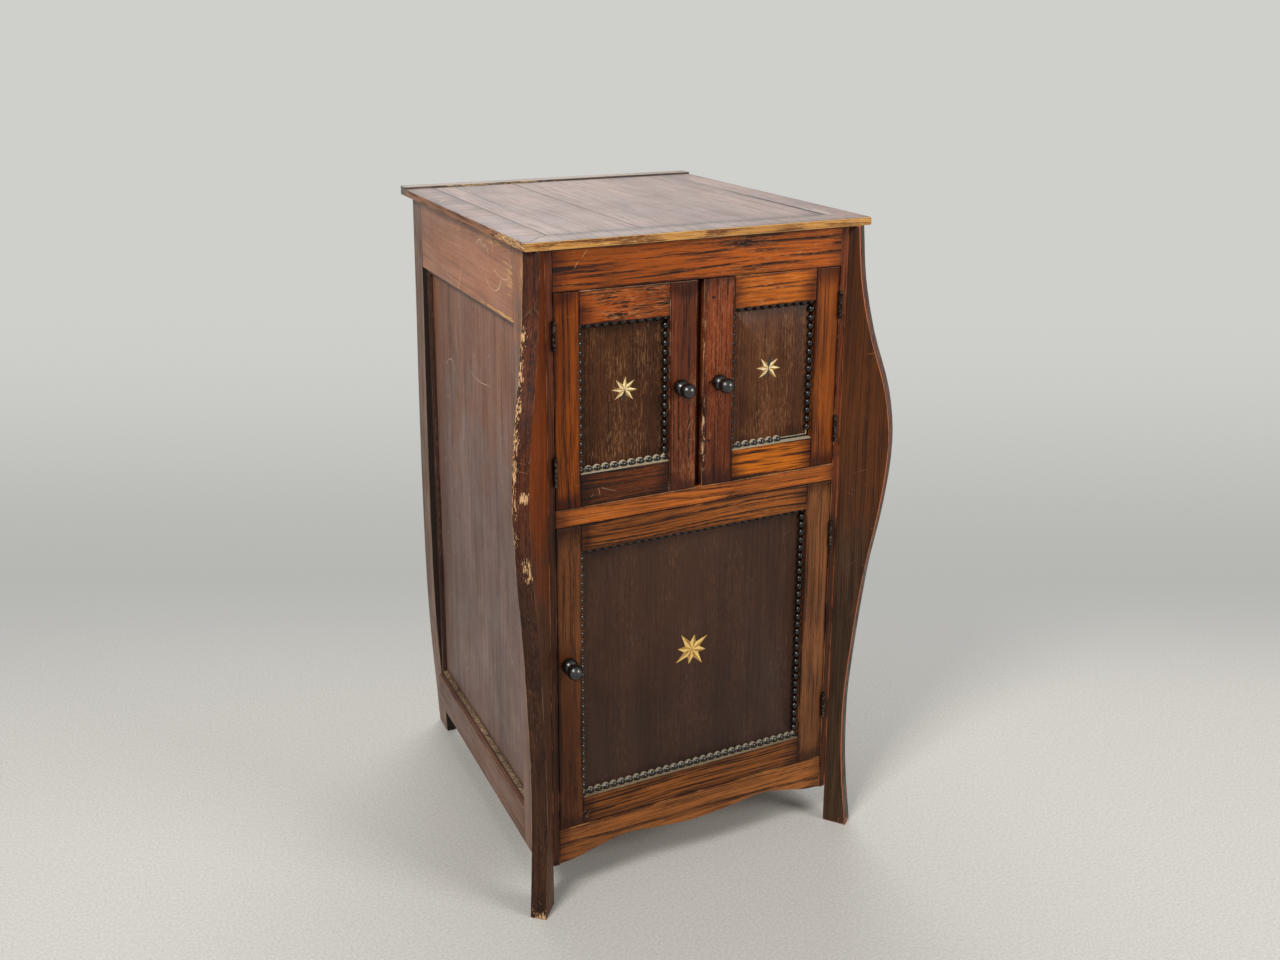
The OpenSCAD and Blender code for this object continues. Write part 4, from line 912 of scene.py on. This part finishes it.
by_slot = {
    "knob": plain("ebonised_knobs", "050404", rough=0.25, fleck="0f0d0b", amount=0.2, bump=0.0,
                  shine=0.85),
    "hinge": plain("black_hinges", "1b1715", metallic=0.8, rough=0.24, fleck="8a7c70", amount=0.5,
                   scale=300),
    "motor_iron": plain("motor_enamel", "26262a", rough=0.35, fleck="3c3a38", bump=0.3),
    "steel": plain("steel", "8f8f90", metallic=1.0, rough=0.3, fleck="5c5a58"),
    "brass": plain("brass", "b08a45", metallic=1.0, rough=0.28, fleck="7a5c2c"),
    "nickel": plain("nickel", "c2bfb8", metallic=1.0, rough=0.18, fleck="8f8a80")}
for node in frame["nodes"]:
    if slot_of[node] in by_slot:
        finish_node(node, by_slot[slot_of[node]])
for door, dust_and_highlight in (("left", 0.9), ("right", 0.9), ("lower", 0.5)):
    finish_node(door + "_door_beading", beads(door + "_door_beading", dust_and_highlight))
print("metal parts done")

# %% [markdown]
# ## The felt mat
# A disc of wool felt, cut to leave a bare rim on the turntable, keeps a record from slipping. Felt
# has soft edges and isn't quite even, so the mat is a rounded profile turned once round the
# spindle, and its upper side dips a little at random.

# %% Felt mat
felt = plain("green_felt", "27452f", rough=0.95, fleck="3b6145", amount=0.8, scale=1200, bump=0.8,
             shine=0.1)
low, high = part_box("turntable_mat")
centre, rim, hole, soft = (low + high) / 2, (high.x - low.x) / 2, 0.0048, 0.0004
DIP, RINGS, AROUND = 0.00012, 16, 96
profile = [(hole, low.z + soft), (hole, high.z - soft), (hole + soft, high.z)]
profile += [(hole + (rim - hole) * i / RINGS, high.z) for i in range(1, RINGS)]
profile += [(rim - soft, high.z), (rim, high.z - soft), (rim, low.z + soft), (rim - soft, low.z),
            (hole + soft, low.z)]
bm = bmesh.new()
ring = [bm.verts.new((centre.x + r, centre.y, z)) for r, z in profile]
ring_edges = [bm.edges.new((ring[i - 1], ring[i])) for i in range(len(ring))]
bmesh.ops.spin(bm, geom=ring + ring_edges, cent=centre, axis=(0, 0, 1), angle=math.tau, steps=AROUND,
               use_merge=True)
rng = random.Random(8)
for vert in bm.verts:
    if vert.co.z > high.z - 1e-6:
        vert.co.z -= DIP * rng.random()
bmesh.ops.recalc_face_normals(bm, faces=bm.faces)
for face in bm.faces:
    face.smooth = True
mat = finished("turntable_felt", bm, [felt])
stands_for(mat, "turntable_mat")
print("mat faces", len(mat.data.polygons))

# %% [markdown]
# ## The stars
# The eight-pointed stars are thin inlay, glued on and left a little proud. Each ray is made of two
# slips of wood that meet on a ridge, one pale and one dark, which makes the flat star look cut like
# a gem. A fan of sixteen triangles gives these slips: every second one of its rim points is pulled
# in to a notch, and the middle is raised by nearly a millimetre. A small pin holds the middle.

# %% Stars
pale = plain("inlay_pale", "e9dcae", rough=0.4, fleck="c7ab6c", amount=0.5, scale=240)
tan = plain("inlay_tan", "a87f3a", rough=0.4, fleck="6e4a1e", amount=0.6, scale=240)
gold = plain("inlay_gold", "e2c070", rough=0.4, fleck="b58a3c", amount=0.5, scale=240)
pin = plain("star_pin", "2a1c10", rough=0.5, fleck="54402a")
RIDGE, PIN_RADIUS = 0.0009, 0.0011


def inlaid(node, turn, level_width, slant_width, notch, light, missing=()):
    """A ridged star in the place of the node. Missing rays have lost their pale slips."""
    low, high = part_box(node)
    centre = (low + high) / 2
    bm = bmesh.new()
    bmesh.ops.create_circle(bm, cap_ends=True, cap_tris=True, segments=16, radius=1.0)
    bmesh.ops.rotate(bm, verts=bm.verts, matrix=Matrix.Rotation(math.radians(90), 3, "X"))
    for vert in bm.verts:
        if vert.co.length < 0.1:
            vert.co.y = -RIDGE
            continue
        step = round(math.degrees(math.atan2(vert.co.z, vert.co.x)) / 22.5) % 16
        span = notch if step % 2 else (level_width if step % 4 == 0 else slant_width) / 2000
        aim = math.radians(step * 22.5 - turn)
        vert.co = Vector((math.cos(aim) * span, 0, math.sin(aim) * span))
    for face in bm.faces:
        tip = max(face.verts, key=lambda v: v.co.length).co
        middle = face.calc_center_median()
        ray = round((math.degrees(math.atan2(tip.z, tip.x)) + turn) / 45) % 8
        clockwise = tip.x * middle.z - tip.z * middle.x < 0
        face.material_index = 2 if ray in missing else int(clockwise)
    rim = [e for e in bm.edges if e.is_boundary]
    skirt = bmesh.ops.extrude_edge_only(bm, edges=rim)["geom"]
    bmesh.ops.translate(bm, verts=[v for v in skirt if isinstance(v, bmesh.types.BMVert)],
                        vec=(0, high.y - low.y - RIDGE, 0))
    bmesh.ops.recalc_face_normals(bm, faces=bm.faces)
    pinned = bmesh.ops.create_uvsphere(bm, u_segments=12, v_segments=8, radius=PIN_RADIUS)["verts"]
    for vert in pinned:
        vert.co.y = vert.co.y * 0.4 - 0.0006
    for face in {f for v in pinned for f in v.link_faces}:
        face.material_index = 2
    bmesh.ops.translate(bm, verts=bm.verts, vec=(centre.x, low.y + RIDGE, centre.z))
    piece = finished(node + "_inlay", bm, [light, tan, pin])
    stands_for(piece, node)


inlaid("left_door_star", 5, 38, 39, 0.0080, pale, missing=(6,))
inlaid("right_door_star", 5, 39, 40, 0.0082, pale, missing=(2, 6))
inlaid("lower_door_star", 11.5, 45.5, 60, 0.0123, gold)
print("stars done")
